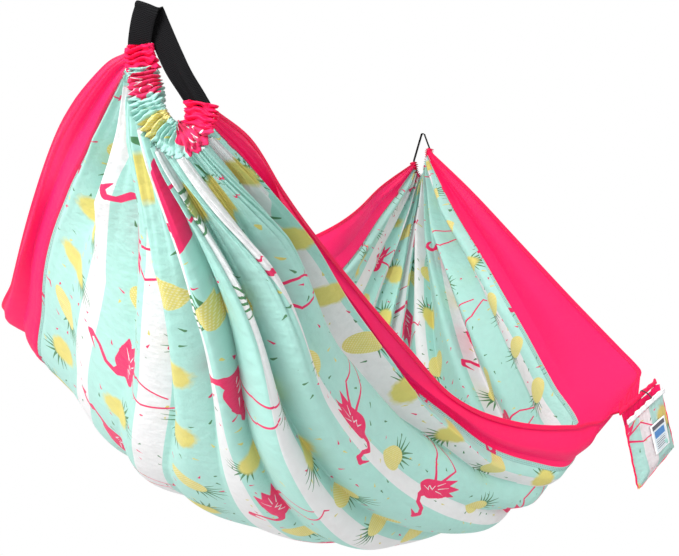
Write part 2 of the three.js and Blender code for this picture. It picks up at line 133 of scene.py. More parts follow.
def sleeve_path(points):
    """The webbing's run inside an end sleeve, by a fraction of its length and an offset outwards."""
    points = np.array(points, float) * MM
    along = spaced(points)
    dense = through(np.column_stack([along, points]), np.linspace(0, along[-1], 400))
    length = travelled(dense)
    table = np.column_stack([dense, unit(np.gradient(dense, axis=0))])

    def place(fraction, offset=0.0):
        fraction = np.asarray(fraction, float)
        row = [np.interp(fraction * length[-1], length, table[:, k]) for k in range(4)]
        return np.stack([row[0] + row[3] * offset, row[1] - row[2] * offset], -1)

    place.length = length[-1]
    return place


near_path = sleeve_path([(-19, -58), (-13, -105), (3, -148), (31, -171), (55, -160), (62, -129)])
far_path = sleeve_path([(-34, -105), (-27, -142), (-7, -163), (12, -140), (24, -56)])

# Lines along the hammock at one width u each, as (y, x, z) in millimetres between the sleeves
RUNS = [
    (-HALF_WIDTH, [
        (100, -122, -58), (200, -231, -95), (350, -366, -153), (500, -512, -272), (700, -692, -425),
        (800, -780, -500), (950, -681, -505), (1100, -532, -470), (1300, -303, -396), (1500, -140, -306),
        (1850, -82, -191),
    ]),
    (-CENTRE_HALF, [
        (100, -100, -95), (250, -231, -165), (350, -327, -225), (500, -458, -320), (650, -579, -465),
        (800, -680, -620), (950, -601, -680), (1100, -472, -680), (1300, -273, -580), (1500, -145, -460),
        (1900, -72, -255),
    ]),
    (-HALF_WIDTH * 0.38, [
        (150, -85, -290), (350, -197, -520), (600, -350, -768), (850, -400, -900), (1100, -350, -948),
        (1350, -224, -900), (1600, -146, -740), (1900, -78, -440),
    ]),
    (0, [
        (150, 20, -400), (350, -17, -660), (600, -28, -881), (850, -10, -1013), (1100, 8, -1068),
        (1350, 21, -1032), (1600, 14, -890), (1900, -3, -560),
    ]),
    (HALF_WIDTH * 0.38, [
        (150, 85, -350), (350, 118, -580), (600, 187, -790), (850, 283, -934), (1100, 368, -1003),
        (1350, 342, -922), (1600, 224, -740), (1900, 92, -430),
    ]),
    (CENTRE_HALF, [
        (100, 91, -205), (250, 92, -281), (500, 115, -430), (700, 188, -600), (800, 275, -700),
        (900, 349, -786), (1000, 436, -842), (1090, 519, -868), (1200, 543, -798), (1300, 486, -727),
        (1500, 394, -603), (1700, 280, -444), (1900, 169, -295),
    ]),
    (HALF_WIDTH, [
        (100, 92, -164), (200, 102, -227), (350, 106, -295), (550, 147, -419), (650, 203, -517),
        (800, 290, -655), (950, 409, -735), (1050, 540, -758), (1120, 625, -742), (1185, 661, -705),
        (1240, 692, -668), (1265, 687, -655), (1320, 648, -620), (1500, 520, -505), (1700, 379, -373),
        (1950, 203, -209),
    ]),
]


def run_between_sleeves(u, points):
    """One of RUNS with its two ends, as [y, x, z] in metres."""
    fraction = sleeve_fraction(u)
    start = near_path(fraction, CLOTH_START)
    end = far_path(fraction)
    return np.vstack([[0, *start], np.array(points) * MM, [CLOTH_END, *end]])


def sleeve_fraction(u):
    return (u + HALF_WIDTH) / (2 * HALF_WIDTH)


CLOTH_END = SPAN - CLOTH_START
FIT_LENGTH = 0.16  # over which the cloth comes onto each sleeve
RUN_WIDTHS = np.array([u for u, _ in RUNS])
RUN_KNOTS = [run_between_sleeves(u, points) for u, points in RUNS]


def smooth_cloth(u, y):
    """Where the cloth lies without its folds: a row for each distance y, a column for each width u."""
    def across(places):
        runs = np.stack([through(knots, places) for knots in RUN_KNOTS])
        table = np.column_stack([RUN_WIDTHS, runs.reshape(len(RUN_KNOTS), -1)])
        return through(table, u).reshape(len(u), len(places), 2).transpose(1, 0, 2)

    xz = across(y)
    edges = (
        (0.0, near_path(sleeve_fraction(u), CLOTH_START)),
        (CLOTH_END, far_path(sleeve_fraction(u))),
    )
    for end, edge in edges:
        t = np.minimum(np.abs(y - end) / FIT_LENGTH, 1)
        weight = (1 - t) ** 2 * (1 + 2 * t)
        xz = xz + weight[:, None, None] * (edge - across(np.array([end]))[0])[None]
    return np.stack([xz[..., 0], np.broadcast_to(y[:, None], xz.shape[:2]), xz[..., 1]], -1)


# ---------------------------------------------------------------- folds
def waves(seed, count, lowest, highest):
    """A smooth random function of one or two values, between about -1 and 1."""
    random = np.random.default_rng(seed)
    rates = random.uniform(lowest, highest, count)
    turns = random.uniform(0, 2 * math.pi, count)
    phases = random.uniform(0, 2 * math.pi, count)

    def value(a, b=0.0):
        total = 0
        for rate, turn, phase in zip(rates, turns, phases):
            total = total + np.sin(2 * math.pi * rate * (a * math.cos(turn) + b * math.sin(turn)) + phase)
        return total / math.sqrt(count) * 0.8

    return value


class FoldLayer:
    """Folds of one size that run along the cloth from both sleeves."""

    def __init__(self, count, share, at_sleeve, growth, reach, seed):
        self.period = 2 * HALF_WIDTH / count  # of cut cloth
        self.share = share  # of the depth that would take up all the spare cloth
        self.at_sleeve = at_sleeve  # the most it stands out at a sleeve
        self.growth = growth  # how fast that grows along the cloth
        self.reach = reach  # how far from the sleeves they die out
        self.drift = waves(seed, 5, 0.25, 0.9)
        self.crowding = waves(seed + 1, 5, 1.0, 3.0)
        self.strength = waves(seed + 2, 7, 0.8, 2.6)

    def phase(self, u, v):
        spread = self.drift(u * 0.8, v * 0.6) * 1.3 + self.crowding(u, v * 0.12) * 0.9
        return 2 * math.pi * u / self.period + spread

    def depth(self, u, v, fullness, distance):
        spare = np.sqrt(np.maximum(1 - 1 / np.maximum(fullness, 1.03) ** 2, 0))
        uneven = np.clip(0.75 + 0.7 * self.strength(u, v * 0.4), 0.3, 1.5)
        deep = self.period / 4 * spare * self.share * uneven * np.exp(-((distance / self.reach) ** 2))
        return np.minimum(deep, self.at_sleeve + self.growth * distance)


COARSE = FoldLayer(11, 1.0, 0.004, 0.13, 3.0, 11)
MEDIUM = FoldLayer(29, 0.55, 0.0055, 0.05, 0.42, 23)
FINE = FoldLayer(74, 0.6, 0.0018, 0.02, 0.26, 37)
CREST_ROUNDNESS = 1.7
LEAN = 0.55  # how far a fold leans over, as a share of its depth
VISIBLE_CLOTH = 1.35  # cut cloth that shows in each metre of gathered cloth, in metres
LEAST_VISIBLE = 0.16
SIDE_CALM = 0.6  # how much shallower the folds of the side panels are
SIDE_CALM_WITHIN = 0.03  # of the seam
HEM_CALM = 0.05  # the width along a hem in which the folds die out
SEAM_CALM = 0.75  # how much a felled seam flattens them
SEAM_CALM_WITHIN = 0.014
TURNS_OVER_FROM = 0.95  # the crests face outwards up to here, and inwards past the next half metre
TURNS_OVER_IN = 0.5
SAG_DEPTH = 0.004
GATHERS_AT = 1.13  # where the stuff sack pulls at the right hem
GATHERS_REACH = 0.07
GATHERS_PHASE = 1.15  # one of the gathers lies here
GATHER_PITCH = 0.03
GATHER_DEPTH = 0.005


def crest(phase):
    """A rounded crest at 0 and a sharp valley at half a turn, from 1 to -1."""
    wrapped = (phase + math.pi) % (2 * math.pi) - math.pi
    return 1 - 2 * (np.abs(wrapped) / math.pi) ** CREST_ROUNDNESS


def smooth_step(t):
    t = np.clip(t, 0, 1)
    return t * t * (3 - 2 * t)


class Cloth:
    """A stretch of the folded cloth between widths u and along distances y, as grids of points."""

    def __init__(self, u, y):
        u = np.asarray(u, float)
        y = np.asarray(y, float)
        base = smooth_cloth(u, y)
        across = np.gradient(base, u, axis=1)
        along = np.gradient(base, y, axis=0)
        normal = unit(np.cross(across, along))
        steps = np.linalg.norm(np.diff(base, axis=0), axis=2)
        from_near = np.vstack([np.zeros(len(u)), np.cumsum(steps, axis=0)])
        whole = from_near[-1]
        distance = np.minimum(from_near, whole - from_near)
        self.u = np.broadcast_to(u, distance.shape)
        self.v = from_near / whole * CLOTH_LENGTH
        self.fullness = 1 / np.linalg.norm(across, axis=2)
        self.across = unit(across)

        side_panel = smooth_step((np.abs(u) - CENTRE_HALF) / SIDE_CALM_WITHIN)
        hem = smooth_step((HALF_WIDTH - np.abs(u)) / HEM_CALM)
        seam = 1 - SEAM_CALM * np.exp(-(((np.abs(u) - CENTRE_HALF) / SEAM_CALM_WITHIN) ** 2))
        calm = hem * seam * (1 - SIDE_CALM * side_panel)
        facing = 1 - 2 * smooth_step((y[:, None] - TURNS_OVER_FROM) / TURNS_OVER_IN)
        height = 0
        shift = 0
        lean = LEAN * np.tanh(3 * waves(5, 4, 0.4, 1.1)(self.u))
        for layer in (COARSE, MEDIUM, FINE):
            depth = layer.depth(self.u, self.v, self.fullness, distance) * calm
            shape = crest(layer.phase(self.u, self.v))
            height = height - depth * shape * facing
            shift = shift + depth * lean * shape * (layer is not FINE)
        height = height + self.sag(distance) * hem
        height = height + self.sack_gathers(y[:, None])
        self.points = base + normal * height[..., None] + self.across * shift[..., None]

    def sag(self, distance):
        """Shallow hollows and swells where the cloth hangs free."""
        slow = waves(61, 8, 1.2, 3.4)(self.u, self.v * 0.7)
        return SAG_DEPTH * slow * smooth_step(distance / 0.5)

    def sack_gathers(self, y):
        """Short gathers on the right side where the stuff sack pulls at the hem."""
        over_side = (self.u - CENTRE_HALF) / SIDE_WIDTH
        near_sack = np.exp(-(((y - GATHERS_AT) / GATHERS_REACH) ** 2)) * smooth_step(over_side)
        fan = np.sin(2 * math.pi * (y - GATHERS_PHASE) / GATHER_PITCH * (1 - 0.35 * over_side))
        return GATHER_DEPTH * near_sack * fan

    def print_uv(self):
        """Each face's corners on the flat cloth, in metres. What a fold hides is left out at its valley."""
        shown = np.clip(VISIBLE_CLOTH / self.fullness, LEAST_VISIBLE, 1)
        hidden = (1 - shown) * smooth_step((self.fullness - 1.3) / 1.2)
        in_medium = smooth_step((self.fullness - 1.8) / 2.5)
        corners_u = face_corners(self.u)
        for layer, part in ((COARSE, hidden * (1 - in_medium)), (MEDIUM, hidden * in_medium)):
            phase = face_corners(layer.phase(self.u, self.v))
            middle = phase.mean(axis=2, keepdims=True)
            fold = np.floor((middle + math.pi) / (2 * math.pi))
            within = phase - 2 * math.pi * fold
            corners_u = corners_u - face_corners(part) * layer.period * within / (2 * math.pi)
        return np.stack([corners_u + HALF_WIDTH, face_corners(self.v)], -1).reshape(-1, 2)


def face_corners(grid):
    """A grid's values at the four corners of each of its faces."""
    return np.stack([grid[:-1, :-1], grid[:-1, 1:], grid[1:, 1:], grid[1:, :-1]], axis=2)


# ---------------------------------------------------------------- meshes
UV_NAME = "cloth"


def grid_faces(rows, columns, closed=False):
    """Four-cornered faces between a grid's points, closed across its columns for a tube."""
    r, c = np.meshgrid(np.arange(rows - 1), np.arange(columns if closed else columns - 1), indexing="ij")
    right = (c + 1) % columns
    this_row = r * columns
    next_row = this_row + columns
    faces = np.stack([this_row + c, this_row + right, next_row + right, next_row + c], -1)
    return faces.reshape(-1, 4).tolist()


def piece(name, points, faces, material, body, replaces=(), uv=None):
    """A new smooth mesh object that rides on a body. uv is one place for each face corner, in metres."""
    mesh = bpy.data.meshes.new(name)
    mesh.from_pydata(np.asarray(points, float).reshape(-1, 3).tolist(), [], faces)
    mesh.polygons.foreach_set("use_smooth", np.ones(len(mesh.polygons), bool))
    if uv is not None:
        layer = mesh.uv_layers.new(name=UV_NAME)
        layer.data.foreach_set("uv", np.asarray(uv, np.float32).ravel())
    mesh.update()
    made = linked(name, mesh)
    made.data.materials.append(material)
    if body:
        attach(made, body)
    if replaces:
        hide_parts(*replaces)
    return made


def vertex_uv(faces, uv):
    """A place for each face corner, from one for each point."""
    uv = np.asarray(uv, float).reshape(-1, 2)
    return uv[np.concatenate([np.asarray(face) for face in faces])]


def sweep(name, rings, material, body, replaces=(), uv_scale=(1, 1), closed_ends=True):
    """A tube through rings of points, in general with closed ends. Its UVs are metres round and along it."""
    rings = np.asarray(rings, float)
    rows, columns = rings.shape[:2]
    faces = grid_faces(rows, columns, closed=True)
    round_steps = np.linalg.norm(np.roll(rings, -1, axis=1) - rings, axis=2).mean(axis=0)
    round_it = added_up(round_steps) * uv_scale[0]
    along = travelled(rings.mean(axis=1)) * uv_scale[1]
    r, c = np.meshgrid(np.arange(rows - 1), np.arange(columns), indexing="ij")
    uv = np.stack([
        np.stack([round_it[c], along[r]], -1), np.stack([round_it[c + 1], along[r]], -1),
        np.stack([round_it[c + 1], along[r + 1]], -1), np.stack([round_it[c], along[r + 1]], -1),
    ], axis=2).reshape(-1, 2)
    if closed_ends:
        first = list(range(columns))[::-1]
        last = [(rows - 1) * columns + i for i in range(columns)]
        faces += [first, last]
        uv = np.vstack([uv, np.zeros((2 * columns, 2))])
    return piece(name, rings, faces, material, body, replaces, uv)


def flat_section(half_width, half_thickness, across=6, round_steps=3):
    """The outline of a strip with round edges, as (width, thickness) pairs."""
    straight = half_width - half_thickness
    outline = []
    for side in (1, -1):
        outline += [(side * t * straight, -side * half_thickness) for t in np.linspace(-1, 1, across)]
        for i in range(1, round_steps + 1):
            angle = math.pi * (i / (round_steps + 1) - 0.5)
            outline.append((
                side * (straight + half_thickness * math.cos(angle)), side * half_thickness * math.sin(angle),
            ))
    return np.array(outline)


def strip_rings(points, widths, thicks, section):
    """Rings along a line, of one section or one for each point: widths and thicks are vectors across it."""
    return points[:, None] + section[..., :1] * widths[:, None] + section[..., 1:] * thicks[:, None]


def stitch_row(points, ways, ups, length, gap, radius):
    """Points and faces of stitches along a line, each a thin spindle."""
    distance = travelled(points)
    places = np.arange(gap, distance[-1] - length, length + gap)

    def at(place, table):
        return np.stack([np.interp(place, distance, table[:, k]) for k in range(3)], -1)

    start = at(places, points)
    end = at(places + length, points)
    side = unit(at(places, ways)) * radius
    up = unit(at(places, ups)) * radius
    middle = (start + end) / 2 + up * 0.4
    vertices = np.stack([start, middle + side, middle + up, middle - side, middle - up, end], axis=1)
    pattern = np.array([
        (0, 2, 1), (0, 3, 2), (0, 4, 3), (0, 1, 4), (5, 1, 2), (5, 2, 3), (5, 3, 4), (5, 4, 1),
    ])
    faces = pattern[None] + 6 * np.arange(len(places))[:, None, None]
    return vertices.reshape(-1, 3), faces.reshape(-1, 3)


def stitches(name, rows, material, body):
    """One piece made of several rows of stitches."""
    points = []
    faces = []
    count = 0
    for vertices, triangles in rows:
        points.append(vertices)
        faces.append(triangles + count)
        count += len(vertices)
    return piece(name, np.vstack(points), np.vstack(faces).tolist(), material, body)


# ---------------------------------------------------------------- materials
MINT = (0.40, 0.70, 0.63, 1)
CLOTH_WHITE = (0.78, 0.78, 0.79, 1)
PRINT_PINK = (0.80, 0.022, 0.13, 1)
PRINT_YELLOW = (0.70, 0.62, 0.17, 1)
PRINT_HATCH = (0.76, 0.72, 0.38, 1)
PRINT_GREEN = (0.08, 0.23, 0.10, 1)
HOT_PINK = (0.96, 0.012, 0.105, 1)
BACKLIT_PINK = (1.0, 0.03, 0.32, 1)
NAVY = (0.022, 0.012, 0.05, 1)
DEEP_PINK = (0.36, 0.008, 0.06, 1)
WEAVE_PITCH = 0.0012
WEAVE_DEPTH = 0.00006
RIB_PITCH = 0.0022  # of the webbing's ribs
ZIGZAG_WIDTH = 0.008  # of the pattern woven across it


class Shade:
    """A material, and short ways to write its nodes."""

    def __init__(self, name, colour, roughness, metallic=0.0, sheen=0.0, specular=0.5):
        self.material = bpy.data.materials.new(name)
        self.material.use_nodes = True
        self.nodes = self.material.node_tree.nodes
        self.links = self.material.node_tree.links
        self.surface = self.nodes["Principled BSDF"]
        inputs = self.surface.inputs
        inputs["Base Color"].default_value = colour
        inputs["Roughness"].default_value = roughness
        inputs["Metallic"].default_value = metallic
        inputs["Sheen Weight"].default_value = sheen
        inputs["Specular IOR Level"].default_value = specular

    def put(self, socket, value):
        if isinstance(value, bpy.types.NodeSocket):
            self.links.new(value, socket)
        else:
            socket.default_value = value

    def add(self, kind, values, output=0, **settings):
        """A new node, with its values by the name or number of their sockets: one of its outputs."""
        node = self.nodes.new("ShaderNode" + kind)
        for name, setting in settings.items():
            setattr(node, name, setting)
        for socket, value in values.items():
            self.put(node.inputs[socket], value)
        return node.outputs[output]

    def math(self, operation, *values, clamp=False):
        return self.add("Math", dict(enumerate(values)), operation=operation, use_clamp=clamp)

    def plus(self, a, b):
        return self.math("ADD", a, b)

    def minus(self, a, b):
        return self.math("SUBTRACT", a, b)

    def times(self, a, b):
        return self.math("MULTIPLY", a, b)

    def over(self, a, b):
        return self.math("DIVIDE", a, b)

    def above(self, a, b):
        return self.math("GREATER_THAN", a, b)

    def below(self, a, b):
        return self.math("LESS_THAN", a, b)

    def absolute(self, a):
        return self.math("ABSOLUTE", a)

    def sine(self, a):
        return self.math("SINE", a)

    def fract(self, a):
        return self.math("FRACT", a)

    def floor(self, a):
        return self.math("FLOOR", a)

    def vector(self, operation, *values):
        output = "Value" if operation in ("DOT_PRODUCT", "DISTANCE", "LENGTH") else "Vector"
        return self.add("VectorMath", dict(enumerate(values)), output, operation=operation)

    def scaled(self, vector, scale):
        return self.add("VectorMath", {0: vector, "Scale": scale}, "Vector", operation="SCALE")

    def split(self, vector):
        """The three numbers of a vector."""
        return self.add("SeparateXYZ", {0: vector}).node.outputs

    def join(self, x, y, z=0.0):
        return self.add("CombineXYZ", {0: x, 1: y, 2: z})

    def turned(self, vector, angle):
        return self.add("VectorRotate", {"Vector": vector, "Angle": angle}, rotation_type="Z_AXIS")

    def uv(self):
        return self.add("UVMap", {}, uv_map=UV_NAME)

    def place(self):
        return self.add("TexCoord", {}, "Object")

    def noise(self, vector, scale, detail=2.0):
        return self.add("TexNoise", {"Vector": vector, "Scale": scale, "Detail": detail})

    def hashed(self, vector):
        """Two random numbers for a place, the same each time."""
        colour = self.add("TexWhiteNoise", {"Vector": vector}, "Color", noise_dimensions="3D")
        first, second, _ = self.split(colour)
        return first, second

    def blend(self, factor, a, b):
        return self.add("Mix", {0: factor, 6: a, 7: b}, 2, data_type="RGBA")

    def between(self, factor, low, high):
        """A number that goes from low to high as factor goes from 0 to 1."""
        return self.math("MULTIPLY_ADD", factor, high - low, low)

    def tinted(self, colour, factor, darkest, lightest):
        """A colour made darker and lighter by a factor from 0 to 1."""
        plain = colour[:3] if isinstance(colour, tuple) else colour
        return self.scaled(plain, self.between(factor, darkest, lightest))

    def colour(self, value):
        self.put(self.surface.inputs["Base Color"], value)

    def roughness(self, factor, low, high):
        self.put(self.surface.inputs["Roughness"], self.between(factor, low, high))

    def bump(self, height, distance, below=None):
        values = {"Distance": distance, "Height": height}
        if below is not None:
            values["Normal"] = below
        return self.add("Bump", values)

    def relief(self, normal):
        self.put(self.surface.inputs["Normal"], normal)

    def weave(self, uv, pitch):
        """Crossing threads, high on each thread's back."""
        u, v, _ = self.split(uv)
        rate = 2 * math.pi / pitch
        warp = self.sine(self.times(u, rate))
        weft = self.sine(self.times(v, rate))
        return self.times(warp, weft)

    def let_light_through(self, colour, share):
        """Thin cloth: a share of the light comes through from behind."""
        behind = self.add("BsdfTranslucent", {"Color": colour})
        self.show(share, behind)

    def show(self, share, other):
        """Mixes a share of another shader into the surface."""
        mixed = self.add("MixShader", {0: share, 1: self.surface.outputs[0], 2: other})
        self.put(self.nodes["Material Output"].inputs["Surface"], mixed)


# The print, in centimetres on the flat cloth. Each stroke is (x, y) to (x, y) with its two half widths.
EDGE = 0.035  # softness of a printed edge
STRIPE_PERIOD = 23.0
STRIPE_SHIFT = 18.5
STRIPE_WHITE = 0.27  # share of each period that is white
BIRD_CELL = (42.0, 38.0)
FRUIT_CELL = (21.0, 19.0)
CONFETTI_CELL = 3.7
PRINT_SCALE = 0.68  # the motifs below are drawn this much smaller than they are printed
BIRD = [
    ((-1.8, 0.4), (1.6, 0.2), 2.2, 2.0),
    ((1.0, 0.9), (4.9, 1.3), 1.5, 0.1),
    ((1.0, 0.2), (5.3, -0.6), 1.7, 0.1),
    ((0.6, -0.5), (4.6, -2.6), 1.3, 0.06),
    ((-2.6, 0.9), (-4.6, 2.0), 1.0, 0.55),
    ((-4.6, 2.0), (-4.8, 3.7), 0.55, 0.46),
    ((-4.8, 3.7), (-3.2, 5.2), 0.46, 0.42),
    ((-3.2, 5.2), (-2.9, 6.7), 0.42, 0.45),
    ((-2.9, 6.7), (-3.9, 7.3), 0.52, 0.56),
    ((-4.0, 7.2), (-5.4, 5.8), 0.46, 0.08),
    ((-0.4, -1.2), (-0.8, -5.9), 0.32, 0.17),
    ((-0.8, -5.9), (0.9, -10.2), 0.19, 0.15),
    ((0.9, -10.2), (-0.3, -10.6), 0.17, 0.08),
    ((0.6, -1.1), (3.9, -4.6), 0.32, 0.17),
    ((3.9, -4.6), (2.5, -9.0), 0.19, 0.15),
]
BIRD_LINES = [
    ((-2.6, -0.3), (-1.6, 0.5), 0.07, 0.1),
    ((-1.6, 0.5), (-1.3, -0.5), 0.1, 0.07),
    ((-1.3, -0.5), (-0.4, 0.4), 0.07, 0.1),
    ((-0.4, 0.4), (-0.1, -0.5), 0.1, 0.07),
    ((0.5, 0.7), (2.6, 1.4), 0.1, 0.03),
    ((0.9, 0.1), (3.0, -0.5), 0.1, 0.03),
    ((0.5, -0.6), (2.0, -1.5), 0.09, 0.03),
]
LEAVES = [
    ((1.8, 0.0), (6.0, 0.2), 0.36, 0.04),
    ((1.8, 0.2), (5.4, 1.5), 0.34, 0.04),
    ((1.8, 0.4), (4.3, 2.5), 0.31, 0.04),
    ((1.7, 0.6), (3.0, 2.9), 0.27, 0.04),
]
LEAF_BEND = 0.05
SOFT_EDGE = 0.7  # of the fruit that are painted without an outline


def stroke(s, point, start, end, start_radius, end_radius):
    """How far a point is outside a stroke that tapers from start to end."""
    way = Vector((*end, 0)) - Vector((*start, 0))
    from_start = s.vector("SUBTRACT", point, (*start, 0))
    along = s.vector("DOT_PRODUCT", from_start, tuple(way / way.length_squared))
    along = s.math("MULTIPLY", along, 1.0, clamp=True)
    gap = s.vector("DISTANCE", from_start, s.scaled(tuple(way), along))
    return s.minus(gap, s.math("MULTIPLY_ADD", along, end_radius - start_radius, start_radius))


def strokes(s, point, shapes):
    """How far a point is outside the nearest of several strokes."""
    nearest = None
    for shape in shapes:
        gap = stroke(s, point, *shape)
        nearest = gap if nearest is None else s.math("MINIMUM", nearest, gap)
    return nearest


def inside(s, gap, edge=EDGE):
    """1 inside a shape and 0 outside it, with a soft edge."""
    return s.math("MULTIPLY_ADD", gap, -1 / edge, 0.5, clamp=True)


def cells(s, u, v, pitch, drop, seed):
    """Divides the cloth into cells, each column lowered by a share of a cell.

    Gives the place in the cell, the cell's column and row, and two random numbers for it.
    """
    across = s.over(u, pitch[0])
    column = s.floor(across)
    down = s.math("MULTIPLY_ADD", column, drop, s.over(v, pitch[1]))
    row = s.floor(down)
    x = s.times(s.minus(s.minus(across, column), 0.5), pitch[0])
    y = s.times(s.minus(s.minus(down, row), 0.5), pitch[1])
    first, second = s.hashed(s.join(column, row, seed))
    return s.join(x, y), column, row, first, second


def print_colour(s):
    """Wide mint and white stripes with wading birds, fruit and confetti."""
    uv = s.scaled(s.uv(), 100.0)
    u, v, _ = s.split(uv)
    stripe = s.fract(s.over(s.plus(u, STRIPE_SHIFT), STRIPE_PERIOD))
    off_stripe = s.minus(s.absolute(s.minus(stripe, 0.5)), STRIPE_WHITE / 2)
    white = inside(s, s.times(off_stripe, STRIPE_PERIOD))
    colour = s.blend(white, MINT, CLOTH_WHITE)

    fruit_at, column, row, fruit_hash, fruit_turn = cells(s, u, v, FRUIT_CELL, 0.0, 3.0)
    beside_bird = s.math("COSINE", s.times(s.math("MULTIPLY_ADD", column, 0.5, row), math.pi))
    shown = s.below(beside_bird, 0.5)
    spread = s.vector("LENGTH", fruit_at)
    angle = s.between(fruit_turn, -1.1, 1.1)
    flipped = s.times(s.above(fruit_hash, 0.5), math.pi)
    point = s.turned(s.vector("ADD", s.scaled(fruit_at, PRINT_SCALE), (0.9, 0.4, 0)), s.plus(angle, flipped))

    confetti_at, _, _, dash_hash, dash_kind = cells(s, u, v, (CONFETTI_CELL, CONFETTI_CELL), 0.4, 7.0)
    dash = s.turned(s.vector("ADD", confetti_at, (0.2, -0.15, 0)), s.times(dash_hash, 9.0))
    dash_gap = stroke(s, dash, (-0.5, 0), (0.6, 0), 0.26, 0.05)
    around_fruit = s.below(s.absolute(s.minus(spread, 7.4)), 2.0)
    scattered = s.above(dash_kind, 0.34)
    dash_shown = s.times(s.times(around_fruit, scattered), inside(s, dash_gap))
    dash_pink = s.above(dash_kind, 0.8)
    dash_yellow = s.below(dash_kind, 0.55)
    dash_colour = s.blend(dash_pink, PRINT_GREEN, PRINT_PINK)
    dash_colour = s.blend(dash_yellow, dash_colour, PRINT_YELLOW)
    colour = s.blend(dash_shown, colour, dash_colour)

    x, y, _ = s.split(point)
    from_crown = s.math("MAXIMUM", s.minus(x, LEAVES[0][0][0]), 0.0)
    bend = s.times(s.times(from_crown, from_crown), LEAF_BEND)
    mirrored = s.join(x, s.minus(s.absolute(y), bend))
    leaf_gap = strokes(s, mirrored, LEAVES)
    leaf = s.times(inside(s, leaf_gap), shown)
    colour = s.blend(leaf, colour, PRINT_GREEN)
    round_fruit = s.minus(s.vector("LENGTH", s.vector("MULTIPLY", point, (0.72, 1.0, 0))), 2.2)
    hatch = s.times(s.sine(s.times(s.plus(x, y), 9.0)),
                   s.sine(s.times(s.minus(x, y), 9.0)))
    painted = s.above(fruit_turn, 0.42)
    cross_hatch = s.times(s.above(hatch, 0.25), s.minus(1.0, painted))
    rind = s.blend(cross_hatch, PRINT_YELLOW, PRINT_HATCH)
    blotted = s.math("MULTIPLY_ADD", s.noise(point, 0.8, 2.0), 1.1, s.minus(round_fruit, 0.55))
    fruit = s.blend(painted, inside(s, round_fruit), inside(s, blotted, SOFT_EDGE))
    colour = s.blend(s.times(fruit, shown), colour, rind)

    bird_u = s.minus(u, FRUIT_CELL[0] / 2 - BIRD_CELL[0] / 2)
    bird_v = s.minus(v, FRUIT_CELL[1] / 2 - BIRD_CELL[1] / 2)
    bird_at, _, _, bird_hash, bird_turn = cells(s, bird_u, bird_v, BIRD_CELL, 0.5, 5.0)
    tilt = s.between(bird_turn, -math.pi / 2 - 0.35, -math.pi / 2 + 0.45)
    bird_point = s.turned(s.vector("ADD", s.scaled(bird_at, PRINT_SCALE), (0.8, 0, 0)), tilt)
    mirror = s.math("MULTIPLY_ADD", s.above(bird_hash, 0.5), 2.0, -1.0)
    bird_x, bird_y, _ = s.split(bird_point)
    bird_point = s.join(s.times(bird_x, mirror), bird_y)
    bird = inside(s, strokes(s, bird_point, BIRD))
    lines = inside(s, strokes(s, bird_point, BIRD_LINES))
    colour = s.blend(bird, colour, PRINT_PINK)
    return s.blend(s.times(lines, bird), colour, CLOTH_WHITE), uv


def printed_cloth():
    s = Shade("printed_cloth", CLOTH_WHITE, 0.62, sheen=0.1, specular=0.3)
    colour, uv = print_colour(s)
    blotches = s.noise(uv, 0.35, 4.0)
    grain = s.noise(uv, 9.0, 3.0)
    colour = s.tinted(s.tinted(colour, blotches, 0.93, 1.05), grain, 0.97, 1.02)
    s.colour(colour)
    s.roughness(grain, 0.52, 0.72)
    crumple = s.bump(s.noise(uv, 0.5, 5.0), 0.0035)
    s.relief(s.bump(s.weave(s.uv(), WEAVE_PITCH), WEAVE_DEPTH, crumple))
    s.let_light_through(colour, 0.24)
    return s.material


def pink_cloth():
    s = Shade("pink_cloth", HOT_PINK, 0.42, specular=0.22)
    place = s.place()
    uv = s.uv()
    blotches = s.noise(place, 5.0, 4.0)
    colour = s.tinted(HOT_PINK, blotches, 0.9, 1.06)
    s.colour(colour)
    s.roughness(s.noise(place, 30.0, 3.0), 0.34, 0.5)
    crumple = s.bump(s.noise(place, 8.0, 4.0), 0.006)
    s.relief(s.bump(s.weave(uv, WEAVE_PITCH), WEAVE_DEPTH, crumple))
    s.let_light_through(BACKLIT_PINK, 0.26)
    return s.material


def thread(name, colour, roughness, darkest, lightest):
    s = Shade(name, colour, roughness, sheen=0.3)
    grain = s.noise(s.place(), 1500.0, 2.0)
    s.colour(s.tinted(colour, grain, darkest, lightest))
    s.relief(s.bump(grain, 0.0002))
    return s.material


def webbing():
    colour = (0.0045, 0.0045, 0.005, 1)
    s = Shade("webbing", colour, 0.8, specular=0.06)
    u, v, _ = s.split(s.uv())
    rib = s.absolute(s.sine(s.times(v, math.pi / RIB_PITCH)))
    zigzag = s.absolute(s.minus(s.fract(s.over(u, ZIGZAG_WIDTH)), 0.5))
    cord = s.sine(s.times(s.math("MULTIPLY_ADD", zigzag, ZIGZAG_WIDTH, v), 2 * math.pi / RIB_PITCH))
    height = s.math("MULTIPLY_ADD", cord, 0.5, rib)
    # Painted shade and highlight: the colour is darker in the grooves between the ribs and lighter on their
    # tops.
    s.colour(s.tinted(colour, height, 0.7, 1.9))
    s.roughness(height, 0.85, 0.62)
    s.relief(s.bump(height, 0.0006))
    return s.material


def white_binding():
    colour = (0.83, 0.83, 0.84, 1)
    s = Shade("white_hem", colour, 0.6, sheen=0.3)
    place = s.place()
    s.colour(s.tinted(colour, s.noise(place, 90.0, 3.0), 0.86, 1.05))
    s.relief(s.bump(s.weave(s.uv(), WEAVE_PITCH), 0.0001, s.bump(s.noise(place, 160.0, 3.0), 0.001)))
    return s.material


